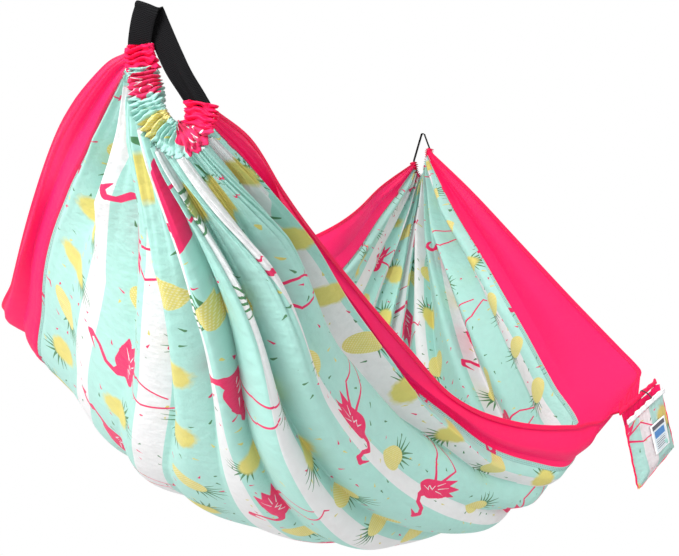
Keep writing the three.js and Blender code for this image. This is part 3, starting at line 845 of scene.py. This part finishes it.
def woven_label():
    """A care label with plain blocks and lines, and no words."""
    s = Shade("label", (0.8, 0.8, 0.8, 1), 0.5, sheen=0.2)
    u, v, _ = s.split(s.uv())

    def block(low_u, high_u, low_v, high_v):
        in_u = s.times(s.above(u, low_u), s.below(u, high_u))
        in_v = s.times(s.above(v, low_v), s.below(v, high_v))
        return s.times(in_u, in_v)

    colour = s.blend(block(0.08, 0.92, 0.05, 0.95), (0.82, 0.82, 0.82, 1), (0.55, 0.62, 0.66, 1))
    colour = s.blend(block(0.08, 0.92, 0.80, 0.95), colour, (0.05, 0.05, 0.07, 1))
    colour = s.blend(block(0.16, 0.84, 0.50, 0.74), colour, (0.02, 0.16, 0.42, 1))
    line = s.below(s.fract(s.times(v, 14.0)), 0.4)
    lines = s.times(line, block(0.18, 0.8, 0.10, 0.44))
    colour = s.blend(lines, colour, (0.1, 0.1, 0.12, 1))
    grain = s.noise(s.place(), 700.0, 2.0)
    s.colour(s.tinted(colour, grain, 0.9, 1.06))
    s.relief(s.bump(grain, 0.0002))
    return s.material


def braided_cord():
    colour = (0.014, 0.013, 0.016, 1)
    s = Shade("cord", colour, 0.7, sheen=0.2)
    place = s.scaled(s.place(), 2 * math.pi / 0.0016)
    x, y, z = s.split(place)
    first = s.sine(s.plus(s.plus(x, y), z))
    second = s.sine(s.minus(s.plus(x, y), z))
    height = s.times(first, second)
    # Painted shade and highlight: the colour is darker between the braid's strands and lighter on their tops.
    s.colour(s.tinted(colour, s.math("MULTIPLY_ADD", height, 0.5, 0.5), 0.7, 2.2))
    s.relief(s.bump(height, 0.0003))
    return s.material


def moulded_plastic():
    colour = (0.018, 0.018, 0.02, 1)
    s = Shade("lock_plastic", colour, 0.42)
    grain = s.noise(s.place(), 900.0, 2.0)
    s.colour(s.tinted(colour, s.noise(s.place(), 60.0, 3.0), 0.85, 1.3))
    s.roughness(grain, 0.34, 0.52)
    s.relief(s.bump(grain, 0.00012))
    return s.material


def spring_wire():
    colour = (0.55, 0.56, 0.58, 1)
    s = Shade("spring_steel", colour, 0.3, metallic=1.0)
    grain = s.noise(s.place(), 400.0, 3.0)
    s.colour(s.tinted(colour, grain, 0.85, 1.1))
    s.roughness(grain, 0.22, 0.4)
    return s.material


PRINT = printed_cloth()
PINK = pink_cloth()
THREAD = thread("seam_thread", NAVY, 0.55, 0.6, 1.6)
PINK_THREAD = thread("hem_thread", DEEP_PINK, 0.5, 0.7, 1.4)
WEBBING = webbing()
BINDING = white_binding()
LABEL = woven_label()
CORD = braided_cord()
PLASTIC = moulded_plastic()
STEEL = spring_wire()


# ---------------------------------------------------------------- stuff sack
SACK_HEADING = Matrix.Rotation(0.848, 4, "Z")
SACK_TILT = Matrix.Rotation(-0.33, 4, "Y")
SACK_FRAME = Matrix.Translation((0.646, 1.119, -0.7536)) @ SACK_HEADING @ SACK_TILT
SACK_TURN = np.array(SACK_FRAME.to_3x3())
SACK_PLACE = np.array(SACK_FRAME.translation)
SACK_WIDTH = 0.148
SACK_LEFT = 0.193  # from the mouth down to each lower corner
SACK_RIGHT = 0.158
SACK_SPLAY = 0.007  # how much wider the bag is at its bottom
SACK_HEM = 0.014  # height of the channel, and of the flap's hem
SACK_FLAP = 0.020  # how far the back stands above the front
SACK_HALF = 0.009  # half the bag's thickness at its mouth
SACK_PRINT_SCALE = 1.42  # of the cloth's own metres
SACK_PRINT_AT = (0.535, 1.12)  # where the front was cut from the print


def in_sack(points):
    """Points of the sack's own frame, +X along its mouth, +Z up it and -Y to its front, in the hammock's."""
    return np.asarray(points, float) @ SACK_TURN.T + SACK_PLACE


# ---------------------------------------------------------------- drawstring
CORD_DIAMETER = 0.003
KNOT_DROP = 0.0046  # from the cord's end to the middle of its knot
# The drawstring's route, in millimetres of the sack's own frame
CORD_ROUTE = [
    (98, -9, 0.4), (98, -9, 7), (97, -7, 14), (95, -2, 21), (93, 4, 26), (92, 9.5, 27.5), (92, 14, 24),
    (92, 17, 17), (92, 17.5, 4), (92, 17.5, -14), (92, 17.5, -34), (92, 17.5, -58),
]


def drawstring():
    route = np.array(CORD_ROUTE, float) * MM
    along = spaced(route)
    line = in_sack(through(np.column_stack([along, route]), np.linspace(0, along[-1], 70)))
    data = bpy.data.curves.new("sack_drawstring_cord", "CURVE")
    data.dimensions = "3D"
    data.bevel_depth = CORD_DIAMETER / 2
    data.bevel_resolution = 3
    data.use_fill_caps = True
    spline = data.splines.new("POLY")
    spline.points.add(len(line) - 1)
    for point, place in zip(spline.points, line):
        point.co = (*place, 1)
    cord = linked("sack_drawstring_cord", data)
    data.materials.append(CORD)
    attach(cord, "sack")
    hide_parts("sack_drawstring")
    knot = overhand_knot(route[-1])


def overhand_knot(end):
    """A tight overhand knot with the cord's sealed end below it."""
    t = np.linspace(0, 1, 90)
    angle = 2 * math.pi * t * 0.92 + 0.9
    size = 0.00125  # a third of the knot's half width
    x = (np.sin(angle) + 2 * np.sin(2 * angle)) * size
    y = (np.cos(angle) - 2 * np.cos(2 * angle)) * size * 0.75
    z = -np.sin(3 * angle) * size * 0.9 - 0.0006
    line = np.stack([x, y, z], -1) + end + np.array([0, 0, -KNOT_DROP])
    tangent = unit(np.gradient(line, axis=0))
    side = unit(np.cross(tangent, [0.31, 0.2, 0.93]))
    up = np.cross(side, tangent)
    around = np.linspace(0, 2 * math.pi, 12, endpoint=False)
    radius = CORD_DIAMETER / 2
    rings = (
        line[:, None] + side[:, None] * (np.cos(around) * radius)[None, :, None]
        + up[:, None] * (np.sin(around) * radius)[None, :, None]
    )
    return sweep("drawstring_overhand_knot", in_sack(rings), CORD, "sack", ("drawstring_knot",))


drawstring()


# ---------------------------------------------------------------- cloth panels
def distances(rows):
    """Distances along the hammock, closer together near the sleeves."""
    t = np.linspace(0, 1, rows)
    return CLOTH_END * (t - 0.6 * np.sin(2 * math.pi * t) / (2 * math.pi))


PANEL_ROWS = 265
CENTRE_COLUMNS = 361
SIDE_COLUMNS = 57


def panel(name, node, low, high, columns, material):
    cloth = Cloth(np.linspace(low, high, columns), distances(PANEL_ROWS))
    faces = grid_faces(PANEL_ROWS, columns)
    return piece(name, cloth.points, faces, material, "bed", (node,), cloth.print_uv())


def side_panel(side, low, high):
    return panel(f"{side}_panel_cloth", f"{side}_side_panel", low, high, SIDE_COLUMNS, PINK)


centre_cloth = panel(
    "printed_panel_cloth", "center_panel", -CENTRE_HALF, CENTRE_HALF, CENTRE_COLUMNS, PRINT,
)
left_cloth = side_panel("left", -HALF_WIDTH, -CENTRE_HALF)
right_cloth = side_panel("right", CENTRE_HALF, HALF_WIDTH)


class ClothLine:
    """The cloth along one width u: its points, the way across it, its normal and its fullness."""

    def __init__(self, u, y):
        beside = 0.004
        cloth = Cloth(u + np.array([-beside, 0, beside]), y)
        self.points = cloth.points[:, 1]
        self.across = unit(cloth.points[:, 2] - cloth.points[:, 0])
        self.normal = unit(np.cross(self.across, np.gradient(self.points, axis=0)))
        self.fullness = cloth.fullness[:, 1]


SEAM_HALF = 0.006
HEM_HALF = 0.006
DOUBLED = 0.0011  # half the thickness of a folded seam or hem
NARROWEST = 0.0016  # half width of a strip where the cloth is gathered hardest
STITCH_LENGTH = 0.0042
STITCH_GAP = 0.0016
THREAD_RADIUS = 0.00055
HEM_THREAD_RADIUS = 0.0004
LINE_ROWS = 420


def folded_strip(name, node, line, half_width, inwards, material):
    """A folded hem or felled seam along a line of the cloth, narrower where the cloth is gathered.

    Gives the piece, its middle line and its half width along it.
    """
    half = np.minimum(half_width, NARROWEST + half_width * 2.2 / line.fullness)
    section = flat_section(1, DOUBLED / half_width, across=5)
    centre = line.points + line.across * (inwards * half)[:, None]
    widths = line.across * half[:, None]
    thicks = line.normal * half_width
    rings = strip_rings(centre, widths, thicks, section)
    made = sweep(name, rings, material, "bed", (node,))
    return made, centre, half


def rows_on_strip(line, centre, half, places, radius):
    """Rows of stitches on both faces of a folded strip, at shares of its half width."""
    rows = []
    for place in places:
        for face in (-1, 1):
            up = line.normal * face
            points = centre + line.across * (place * half)[:, None] + up * DOUBLED
            rows.append(stitch_row(points, line.across, up, STITCH_LENGTH, STITCH_GAP, radius))
    return rows


def seam(side, u):
    line = ClothLine(u, distances(LINE_ROWS))
    _, centre, half = folded_strip(
        f"{side}_seam_fold", f"{side}_felled_seam", line, SEAM_HALF, 0, PRINT,
    )
    rows = rows_on_strip(line, centre, half, (-0.68, 0, 0.68), THREAD_RADIUS)
    stitches(f"{side}_seam_stitches", rows, THREAD, "bed")


def hem(side, u):
    line = ClothLine(u, distances(LINE_ROWS))
    inwards = -0.8 if u > 0 else 0.8
    strip, centre, half = folded_strip(
        f"{side}_hem_fold", f"{side}_edge_hem", line, HEM_HALF, inwards, PINK,
    )
    rows = rows_on_strip(line, centre, half, (inwards * 0.75,), HEM_THREAD_RADIUS)
    stitches(f"{side}_hem_stitches", rows, PINK_THREAD, "bed")
    return strip


seam("left", -CENTRE_HALF)
seam("right", CENTRE_HALF)
left_hem = hem("left", -HALF_WIDTH)
right_hem = hem("right", HALF_WIDTH)


# ---------------------------------------------------------------- end sleeves and the webbing in them
SLEEVE_PRINT = (0.125, 0.875)  # where the printed part of each sleeve starts and ends
PLEATS = 27  # across each sleeve
RUFFLE_DEPTH = 0.0056
WEBBING_HALF = 0.016
WEBBING_HALF_THICKNESS = 0.0012
MOUTH_OUT = 0.004  # how far a sleeve's cloth reaches past its seam at a mouth
TURNED_IN = [(0.62, 0.004), (0.74, 0.0), (0.93, -0.0012)]  # size and place of each ring of a turned edge


class SleeveFrame:
    """Places along one end sleeve, and the directions of its webbing's width and thickness there."""

    def __init__(self, path, y, upright):
        self.path = path
        self.y = y
        self.upright = upright  # the webbing's width stands in the sleeve's own plane

    def at(self, fraction):
        fraction = np.asarray(fraction, float)
        inside = np.clip(fraction, 0, 1)
        xz = self.path(inside)
        nearby = np.clip(inside, 0.005, 0.995)
        way = unit(self.path(nearby + 0.005) - self.path(nearby - 0.005))
        xz = xz + way * ((fraction - inside) * self.path.length)[..., None]
        points = np.stack([xz[..., 0], np.full(fraction.shape, self.y), xz[..., 1]], -1)
        outwards = np.stack([way[..., 1], np.zeros(fraction.shape), -way[..., 0]], -1)
        along_hammock = np.broadcast_to(np.array([0.0, 1.0, 0.0]), outwards.shape)
        if self.upright:
            return points, outwards, along_hammock
        return points, -along_hammock, outwards


NEAR_END = SleeveFrame(near_path, 0.0, True)
FAR_END = SleeveFrame(far_path, SPAN, False)


def sleeve_part(name, frame_at, start, end, material, nodes, seed):
    """Part of a gathered channel: pleats that run round the webbing, and edges turned in at both ends."""
    rows = int(round((end - start) * PLEATS * 12)) + 6
    sides = 56
    fraction = np.linspace(start, end, rows)
    angle = np.linspace(0, 2 * math.pi, sides, endpoint=False)
    slow = waves(seed, 6, 0.6, 2.0)
    crowd = waves(seed + 1, 6, 2.0, 6.0)
    strong = waves(seed + 2, 6, 2.0, 7.0)
    flat_share = np.abs(np.sin(angle)) ** 0.7

    def rings(fractions, scale=1.0):
        points, width, thick = frame_at.at(fractions)
        f = fractions[:, None]
        a = angle[None]
        phase = 2 * math.pi * f * PLEATS + 2.2 * slow(f * 3, np.cos(a) * 0.6)
        phase = phase + 1.5 * crowd(f, np.sin(a) * 0.25)
        phase = phase + 1.3 * np.sin(a) * slow(f * 2) + 0.8 * np.cos(a) * crowd(f * 0.7)
        uneven = np.clip(0.85 + 0.9 * strong(f, np.cos(a) * 0.3), 0.15, 1.7)
        depth = RUFFLE_DEPTH * uneven * (0.5 + 0.5 * flat_share)
        out = depth * crest(phase) + 0.0009 * crest(2.3 * phase + 4 * slow(f * 5, np.cos(a)))
        across = (SLEEVE_HALF_DEPTH - 0.002) * np.sign(np.cos(a)) * np.abs(np.cos(a)) ** 0.8
        through_it = (SLEEVE_HALF_THICKNESS - 0.0045) * np.sign(np.sin(a)) * np.abs(np.sin(a)) ** 0.7
        across = (across + out * np.cos(a)) * scale
        through_it = (through_it + out * np.sin(a)) * scale
        return points[:, None] + width[:, None] * across[..., None] + thick[:, None] * through_it[..., None]

    body_rings = rings(fraction)
    length = frame_at.path.length
    first = [rings(np.array([start + back / length]), scale)[0] for scale, back in TURNED_IN]
    last = [rings(np.array([end - back / length]), scale)[0] for scale, back in reversed(TURNED_IN)]
    all_rings = np.vstack([np.array(first), body_rings, np.array(last)])
    sweep(name, all_rings, material, "bed", nodes, uv_scale=(1.0, 2.6), closed_ends=False)


def sleeve(end, frame_at, seed):
    length = frame_at.path.length
    low, high = SLEEVE_PRINT
    out = MOUTH_OUT / length
    node = f"{end}_end_sleeve"
    sleeve_part(f"{end}_sleeve_print", frame_at, low, high, PRINT, (node,), seed)
    sleeve_part(f"{end}_sleeve_left", frame_at, -out, low + 0.004, PINK, (node,), seed + 3)
    sleeve_part(f"{end}_sleeve_right", frame_at, high - 0.004, 1 + out, PINK, (node,), seed + 6)


sleeve("near", NEAR_END, 71)
sleeve("far", FAR_END, 83)


THREAD_SUNK = 0.0085  # below the tops of the gathers
SEAM_FROM_EDGE = 0.006


def sleeve_stitches(end, frame_at):
    """The rows of thread that close the channel, sunk in its gathers on both faces."""
    fraction = np.linspace(0.01, 0.99, 240)
    points, width, thick = frame_at.at(fraction)
    ripple = 0.0008 * np.sin(2 * math.pi * fraction * PLEATS)
    rise = SLEEVE_HALF_THICKNESS - THREAD_SUNK + ripple
    rows = []
    for face in (-1, 1):
        place = points + width * (SLEEVE_HALF_DEPTH - SEAM_FROM_EDGE) + thick * (face * rise)[:, None]
        rows.append(stitch_row(place, width, thick * face, 0.003, 0.001, THREAD_RADIUS))
    made = stitches(f"{end}_sleeve_stitches", rows, THREAD, "bed")
    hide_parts(f"{end}_sleeve_stitching")


sleeve_stitches("near", NEAR_END)
sleeve_stitches("far", FAR_END)

LAP_FROM = 4 / 14  # shares of the webbing's run in the sleeve
LAP_TO = 9 / 14
LAP_GAP = 0.0003
TACKS_AT = (2, 5, 18, 21)  # of the lap's 24 steps
WEBBING_SECTION = flat_section(WEBBING_HALF, WEBBING_HALF_THICKNESS, across=9)


def inner_webbing(end, frame_at):
    """The webbing in the channel, whose ends are sewn over each other with bar tacks."""
    fraction = np.linspace(0.03, 0.97, 60)
    points, width, thick = frame_at.at(fraction)
    rings = strip_rings(points, width, thick, WEBBING_SECTION)
    sweep(f"{end}_webbing_in_sleeve", rings, WEBBING, "bed", (f"{end}_webbing_core",))
    fraction = np.linspace(LAP_FROM, LAP_TO, 24)
    points, width, thick = frame_at.at(fraction)
    over = points + thick * (2 * WEBBING_HALF_THICKNESS + LAP_GAP)
    section = flat_section(WEBBING_HALF - 0.002, WEBBING_HALF_THICKNESS - 0.0002, across=9)
    rings = strip_rings(over, width, thick, section)
    sweep(f"{end}_webbing_overlap", rings, WEBBING, "bed", (f"{end}_webbing_lap",))
    rows = []
    across = np.linspace(-WEBBING_HALF + 0.004, WEBBING_HALF - 0.004, 30)
    for place in TACKS_AT:
        tack = over[place] + width[place] * across[:, None] + thick[place] * WEBBING_HALF_THICKNESS
        along = np.broadcast_to(unit(np.cross(width[place], thick[place])), tack.shape)
        up = np.broadcast_to(thick[place], tack.shape)
        rows.append(stitch_row(tack, along, up, 0.0018, 0.0003, 0.0006))
    stitches(f"{end}_bar_tacks", rows, THREAD, "bed")


inner_webbing("near", NEAR_END)
inner_webbing("far", FAR_END)


# ---------------------------------------------------------------- webbing loops
def loop_strap(name, node, rows, crumple):
    """The webbing from one of a sleeve's mouths over the hook to the other.

    Its rows are (place, way across), in millimetres. crumple sets how much it crinkles across its width
    between about 0.72 and 0.96 of its length.
    """
    at = np.array([row[0] for row in rows], float) * MM
    width = unit(np.array([row[1] for row in rows], float))
    along = spaced(at)
    t = np.linspace(0, along[-1], 150)
    points = through(np.column_stack([along, at]), t)
    across = through(np.column_stack([along, width]), t)
    tangent = unit(np.gradient(points, axis=0))
    across = unit(across - tangent * np.sum(across * tangent, axis=1)[:, None])
    thick = unit(np.cross(tangent, across))
    section = WEBBING_SECTION[None] * np.ones((len(t), 1, 1))
    share = (t / along[-1])[:, None]
    fold = crumple * smooth_step((share - 0.72) / 0.12) * (1 - smooth_step((share - 0.9) / 0.06))
    cup = (section[..., 0] / WEBBING_HALF) ** 2
    section[..., 1] += 0.0022 * (cup - 0.4) * np.sin(t / along[-1] * 5.0)[:, None] * 0.5
    section[..., 1] += fold * 0.0045 * np.cos(section[..., 0] / WEBBING_HALF * 4.2 + t[:, None] * 4)
    section[..., 0] *= 1 - 0.16 * fold
    rings = strip_rings(points, across, thick, section)
    strap = sweep(name, rings, WEBBING, None, (node,))
    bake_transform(strap)


NEAR_STRAP = [
    ((-15, 0, -78), (1, 0, -0.25)), ((-19, 0, -56), (1, 0, -0.25)), ((-16, -3, -40), (1, 0, -0.3)),
    ((-11, -5.5, -23), (1, 0, -0.38)), ((-6, -6.6, -11), (1, 0, -0.4)), ((-5, -4, -5), (1, 0, -0.4)),
    ((-5, 4, -5), (1, 0, -0.4)), ((-4, 6.6, -11), (1, 0, -0.3)), ((5, 6, -32), (1, 0, 0.1)),
    ((29, 4, -82), (1, 0, 0.4)), ((58, 0, -127), (1, 0, 0.3)), ((62, 0, -142), (1, 0, 0.2)),
]
FAR_STRAP = [
    ((-32, 2200, -120), (0, 1, 0)), ((-33, 2200, -98), (0, 1, 0)), ((-26, 2200, -72), (0, 1, 0)),
    ((-6.6, 2200, -5), (0, 1, 0)), ((-4, 2200, 1.2), (0, 1, 0)), ((4, 2200, 1.2), (0, 1, 0)),
    ((6.6, 2200, -5), (0, 1, 0)), ((17, 2200, -32), (0, 1, 0)), ((24, 2200, -52), (0, 1, 0)),
    ((22, 2200, -72), (0, 1, 0)),
]
loop_strap("near_hanging_strap", "near_webbing_loop", NEAR_STRAP, 1.0)
loop_strap("far_hanging_strap", "far_webbing_loop", FAR_STRAP, 0.0)


# ---------------------------------------------------------------- stuff sack's cloth
MOUTH_RISE = 0.014


def drawn_up(x, z):
    """The right end of the mouth is pulled up towards the hammock's corner."""
    return z + MOUTH_RISE * np.clip(x / SACK_WIDTH, 0, 1) ** 1.6 * smooth_step(1 + z / 0.09)


def sack_sheet(name, node, front, top, material, seed):
    """One side of the bag, slack and creased, sewn to the other along its sides and bottom."""
    columns = 61
    rows = 71
    a, b = np.meshgrid(np.linspace(0, 1, columns), np.linspace(0, 1, rows))
    bottom = -(SACK_LEFT + (SACK_RIGHT - SACK_LEFT) * a)
    x = a * (SACK_WIDTH + SACK_SPLAY * b)
    z = top + (bottom - top) * b
    crease = waves(seed, 9, 6, 22)
    swell = waves(seed + 1, 6, 3, 9)
    edge = np.minimum(np.minimum(a, 1 - a) * SACK_WIDTH, (1 - b) * SACK_LEFT)
    slack = smooth_step(edge / 0.035)
    mouth = smooth_step(b / 0.25)
    depth = SACK_HALF * (1 - mouth) * smooth_step(edge / 0.012 + 0.25) + mouth * (0.0015 + 0.0085 * slack)
    depth = depth + 0.0028 * swell(x, z) * slack
    gathers = waves(seed + 2, 5, 45, 90)(x, z * 0.1) * np.exp(-b / 0.16) * 0.0016
    tucks = crest(2 * math.pi * (x * 0.9 + z * 0.5) / 0.045 + 2 * swell(z * 2, x)) * 0.0011 * slack
    depth = depth + 0.0012 * crease(x, z * 0.35) * slack + gathers + tucks * mouth
    y = -depth if front else depth
    z = drawn_up(x, z)
    cut_at = SACK_PRINT_AT[0] if front else 0
    uv = np.stack([x * SACK_PRINT_SCALE + cut_at, z * SACK_PRINT_SCALE + SACK_PRINT_AT[1]], -1)
    faces = grid_faces(rows, columns)
    points = in_sack(np.stack([x, y, z], -1))
    made = piece(name, points, faces, material, "sack", (node,), vertex_uv(faces, uv))


sack_sheet("sack_front_cloth", "sack_front_panel", True, -SACK_HEM, PRINT, 101)
sack_sheet("sack_back_cloth", "sack_back_panel", False, SACK_FLAP - SACK_HEM, PINK, 113)


def sack_channel(name, node, top, y, material, seed, rows_of_thread):
    """The drawstring channel or the hemmed flap at the sack's mouth, gathered along its length."""
    steps = 150
    x = np.linspace(0, SACK_WIDTH, steps)
    ripple = waves(seed, 6, 25, 60)(x)
    lift = waves(seed + 1, 4, 6, 14)(x)
    middle = drawn_up(x, top - SACK_HEM / 2 + 0 * x)
    centre = np.stack([x, y + 0.0012 * ripple, middle + 0.0012 * lift], -1)
    up = np.tile([0.0, 0.0, 1.0], (steps, 1)) + np.stack([0 * x, 0.12 * ripple, 0 * x], -1)
    out = np.tile([0.0, -1.0, 0.0], (steps, 1))
    section = flat_section(SACK_HEM / 2, 0.0019, across=9)
    swollen = section[None] * np.ones((steps, 1, 1))
    swollen[..., 1] *= 1 + 0.3 * np.cos(swollen[..., 0] / SACK_HEM * math.pi) + 0.12 * ripple[:, None]
    rings = strip_rings(centre, unit(up), out, swollen)
    sweep(name, in_sack(rings), material, "sack", (node,))
    rows = []
    for height in rows_of_thread:
        for face in (-1, 1):
            line = in_sack(centre + unit(up) * height - out * (face * 0.0024))
            ups = np.tile(SACK_TURN @ np.array([0, face, 0]), (steps, 1))
            ways = np.tile(SACK_TURN @ np.array([0, 0, 1]), (steps, 1))
            rows.append(stitch_row(line, ways, ups, 0.0028, 0.0014, 0.0005))
    stitches(f"{name}_stitches", rows, THREAD, "sack")


THREAD_LINE = 0.0048  # from the middle of a channel to its rows of thread
BOTH_LINES = (-THREAD_LINE, THREAD_LINE)
sack_channel("sack_front_channel", "sack_front_hem", 0, -SACK_HALF, BINDING, 121, BOTH_LINES)
sack_channel("sack_flap_hem", "sack_back_hem", SACK_FLAP, SACK_HALF, PINK, 131, (-THREAD_LINE,))


def sack_seam():
    """The bound seam round the bag's two sides and bottom."""
    corners = [
        (0, -SACK_HEM), (0, -SACK_LEFT * 0.5), (0, -SACK_LEFT),
        (SACK_WIDTH * 0.5, -(SACK_LEFT + SACK_RIGHT) / 2),
        (SACK_WIDTH + SACK_SPLAY, -SACK_RIGHT), (SACK_WIDTH + SACK_SPLAY / 2, -SACK_RIGHT * 0.5),
        (SACK_WIDTH, -SACK_HEM),
    ]
    points = []
    for (x0, z0), (x1, z1) in zip(corners, corners[1:]):
        for t in np.linspace(0, 1, 24, endpoint=False):
            points.append((x0 + (x1 - x0) * t, 0, z0 + (z1 - z0) * t))
    points.append((corners[-1][0], 0, corners[-1][1]))
    points = np.array(points)
    round_off = np.ones(9) / 9
    padded = np.vstack([np.repeat(points[:1], 4, 0), points, np.repeat(points[-1:], 4, 0)])
    line = np.stack([np.convolve(padded[:, k], round_off, "valid") for k in range(3)], -1)
    line[:, 1] += 0.0009 * waves(141, 6, 12, 40)(line[:, 0], line[:, 2])
    tangent = unit(np.gradient(line, axis=0))
    front = np.tile([0.0, 1.0, 0.0], (len(line), 1))
    side = unit(np.cross(tangent, front))
    rings = strip_rings(line, front, side, flat_section(0.0026, 0.0011, across=4))
    sweep("sack_bound_seam", in_sack(rings), PINK, "sack", ("sack_side_seam",))


sack_seam()


def thicken(made, thickness, offset):
    solid = made.modifiers.new("thickness", "SOLIDIFY")
    solid.thickness = thickness
    solid.offset = offset


def sack_label():
    """A plain woven label with a rolled edge."""
    corners = [np.array(corner) * MM for corner in ((70, -133), (128, -128), (126, -51), (68, -54))]
    columns = 17
    rows = 23
    s, t = np.meshgrid(np.linspace(0, 1, columns), np.linspace(0, 1, rows))
    xz = (
        (1 - s)[..., None] * (1 - t)[..., None] * corners[0] + s[..., None] * (1 - t)[..., None] * corners[1]
        + s[..., None] * t[..., None] * corners[2] + (1 - s)[..., None] * t[..., None] * corners[3]
    )
    rim = np.minimum(np.minimum(s, 1 - s) * 0.058, np.minimum(t, 1 - t) * 0.079)
    slack = waves(151, 4, 8, 20)(xz[..., 0], xz[..., 1])
    y = -0.0138 - 0.0006 * np.sqrt(np.clip(rim / 0.003, 0, 1)) - 0.0008 * slack
    front = np.stack([xz[..., 0], y, xz[..., 1]], -1)
    faces = grid_faces(rows, columns)
    uv = vertex_uv(faces, np.stack([s, t], -1))
    label = piece("sack_care_label", in_sack(front), faces, LABEL, "sack", ("sack_label",), uv)
    thicken(label, 0.0007, -1)


sack_label()


STRIP_ON_HEM = (1.128, 1.230)  # along the hammock
STRIP_ON_SACK = (0.004, 0.080)  # along the sack's mouth


def attachment_strip():
    """The strip of pink cloth that ties the back of the sack's mouth to the hammock's hem."""
    steps = 46
    down = 20
    y = np.linspace(*STRIP_ON_HEM, steps)
    line = ClothLine(HALF_WIDTH, y)
    t = np.linspace(0, 1, steps)
    on_hem = line.points + line.across * 0.0015
    x = STRIP_ON_SACK[0] + (STRIP_ON_SACK[1] - STRIP_ON_SACK[0]) * t
    sewn_at = [x, np.full(steps, SACK_HALF + 0.004), np.full(steps, 0.017)]
    on_sack = in_sack(np.stack(sewn_at, -1))
    s = np.linspace(0, 1, down)[:, None, None]
    base = on_hem[None] * (1 - s) + on_sack[None] * s
    normal = unit(np.cross(np.gradient(base, axis=1), np.gradient(base, axis=0)))
    fade = np.sin(math.pi * np.clip(s[..., 0], 0.12, 1))
    ripple = np.sin(2 * math.pi * t[None] * 7 + 3 * s[..., 0]) * 0.0012 * fade
    points = base + normal * ripple[..., None]
    faces = grid_faces(down, steps)
    uv = vertex_uv(faces, np.stack(np.broadcast_arrays(t[None] * 0.08, s[..., 0] * 0.03), -1))
    replaced = ("sack_attachment_strip",)
    strip = piece("sack_tie_strip", points, faces, PINK, "sack", replaced, uv)
    thicken(strip, 0.0008, 0)


attachment_strip()

# ---------------------------------------------------------------- cord lock and finish
LOCK_FINISHES = {"cord_lock_barrel": PLASTIC, "cord_lock_plunger": PLASTIC, "cord_lock_spring": STEEL}
for node, finish in LOCK_FINISHES.items():
    for material_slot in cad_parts[node].material_slots:
        material_slot.link = "OBJECT"
        material_slot.material = finish


# ---------------------------------------------------------------- floor and light
FLOOR_HEIGHT = -1.45
FLOOR_REACH = 30.0
FLOOR_BOUNCE = 0.6  # of the light that falls on it; the camera itself sees it white
WORLD_LIGHT = 0.83  # on the object; the camera itself sees the backdrop white
LAMPS = [  # name, place, the point that it faces, side of its square and power
    ("key", (-0.7, -2.6, 1.4), (0, 0.5, -0.6), 1.5, 215),
    ("side", (3.2, 0.2, 1.4), (0.2, 1.0, -0.7), 1.6, 30),
]


def add_floor():
    floor_mesh = bpy.data.meshes.new("floor")
    sides = ((-1, -1), (1, -1), (1, 1), (-1, 1))
    corners = [(x * FLOOR_REACH, y * FLOOR_REACH, FLOOR_HEIGHT) for x, y in sides]
    floor_mesh.from_pydata(corners, [], [(0, 1, 2, 3)])
    floor = linked("floor", floor_mesh)
    pale = Shade("pale_floor", (FLOOR_BOUNCE, FLOOR_BOUNCE, FLOOR_BOUNCE, 1), 0.9, specular=0.1)
    pale.show(pale.add("LightPath", {}, "Is Camera Ray"), pale.add("Emission", {}))
    floor_mesh.materials.append(pale.material)


def add_world():
    world = bpy.data.worlds.new("studio")
    world.use_nodes = True
    sky = world.node_tree.nodes["Background"]
    sky.inputs[0].default_value = (1, 1, 1, 1)
    path = world.node_tree.nodes.new("ShaderNodeLightPath")
    strength = world.node_tree.nodes.new("ShaderNodeMapRange")
    strength.inputs["To Min"].default_value = WORLD_LIGHT
    world.node_tree.links.new(path.outputs["Is Camera Ray"], strength.inputs["Value"])
    world.node_tree.links.new(strength.outputs[0], sky.inputs[1])
    bpy.context.scene.world = world


def add_lamps():
    for name, place, aim, size, power in LAMPS:
        data = bpy.data.lights.new(name, "AREA")
        data.shape = "SQUARE"
        data.size = size
        data.energy = power
        lamp = linked(name, data)
        lamp.location = place
        lamp.rotation_euler = (Vector(aim) - Vector(place)).to_track_quat("-Z", "Y").to_euler()


add_floor()
add_world()
add_lamps()
bpy.context.scene.view_settings.view_transform = "Standard"
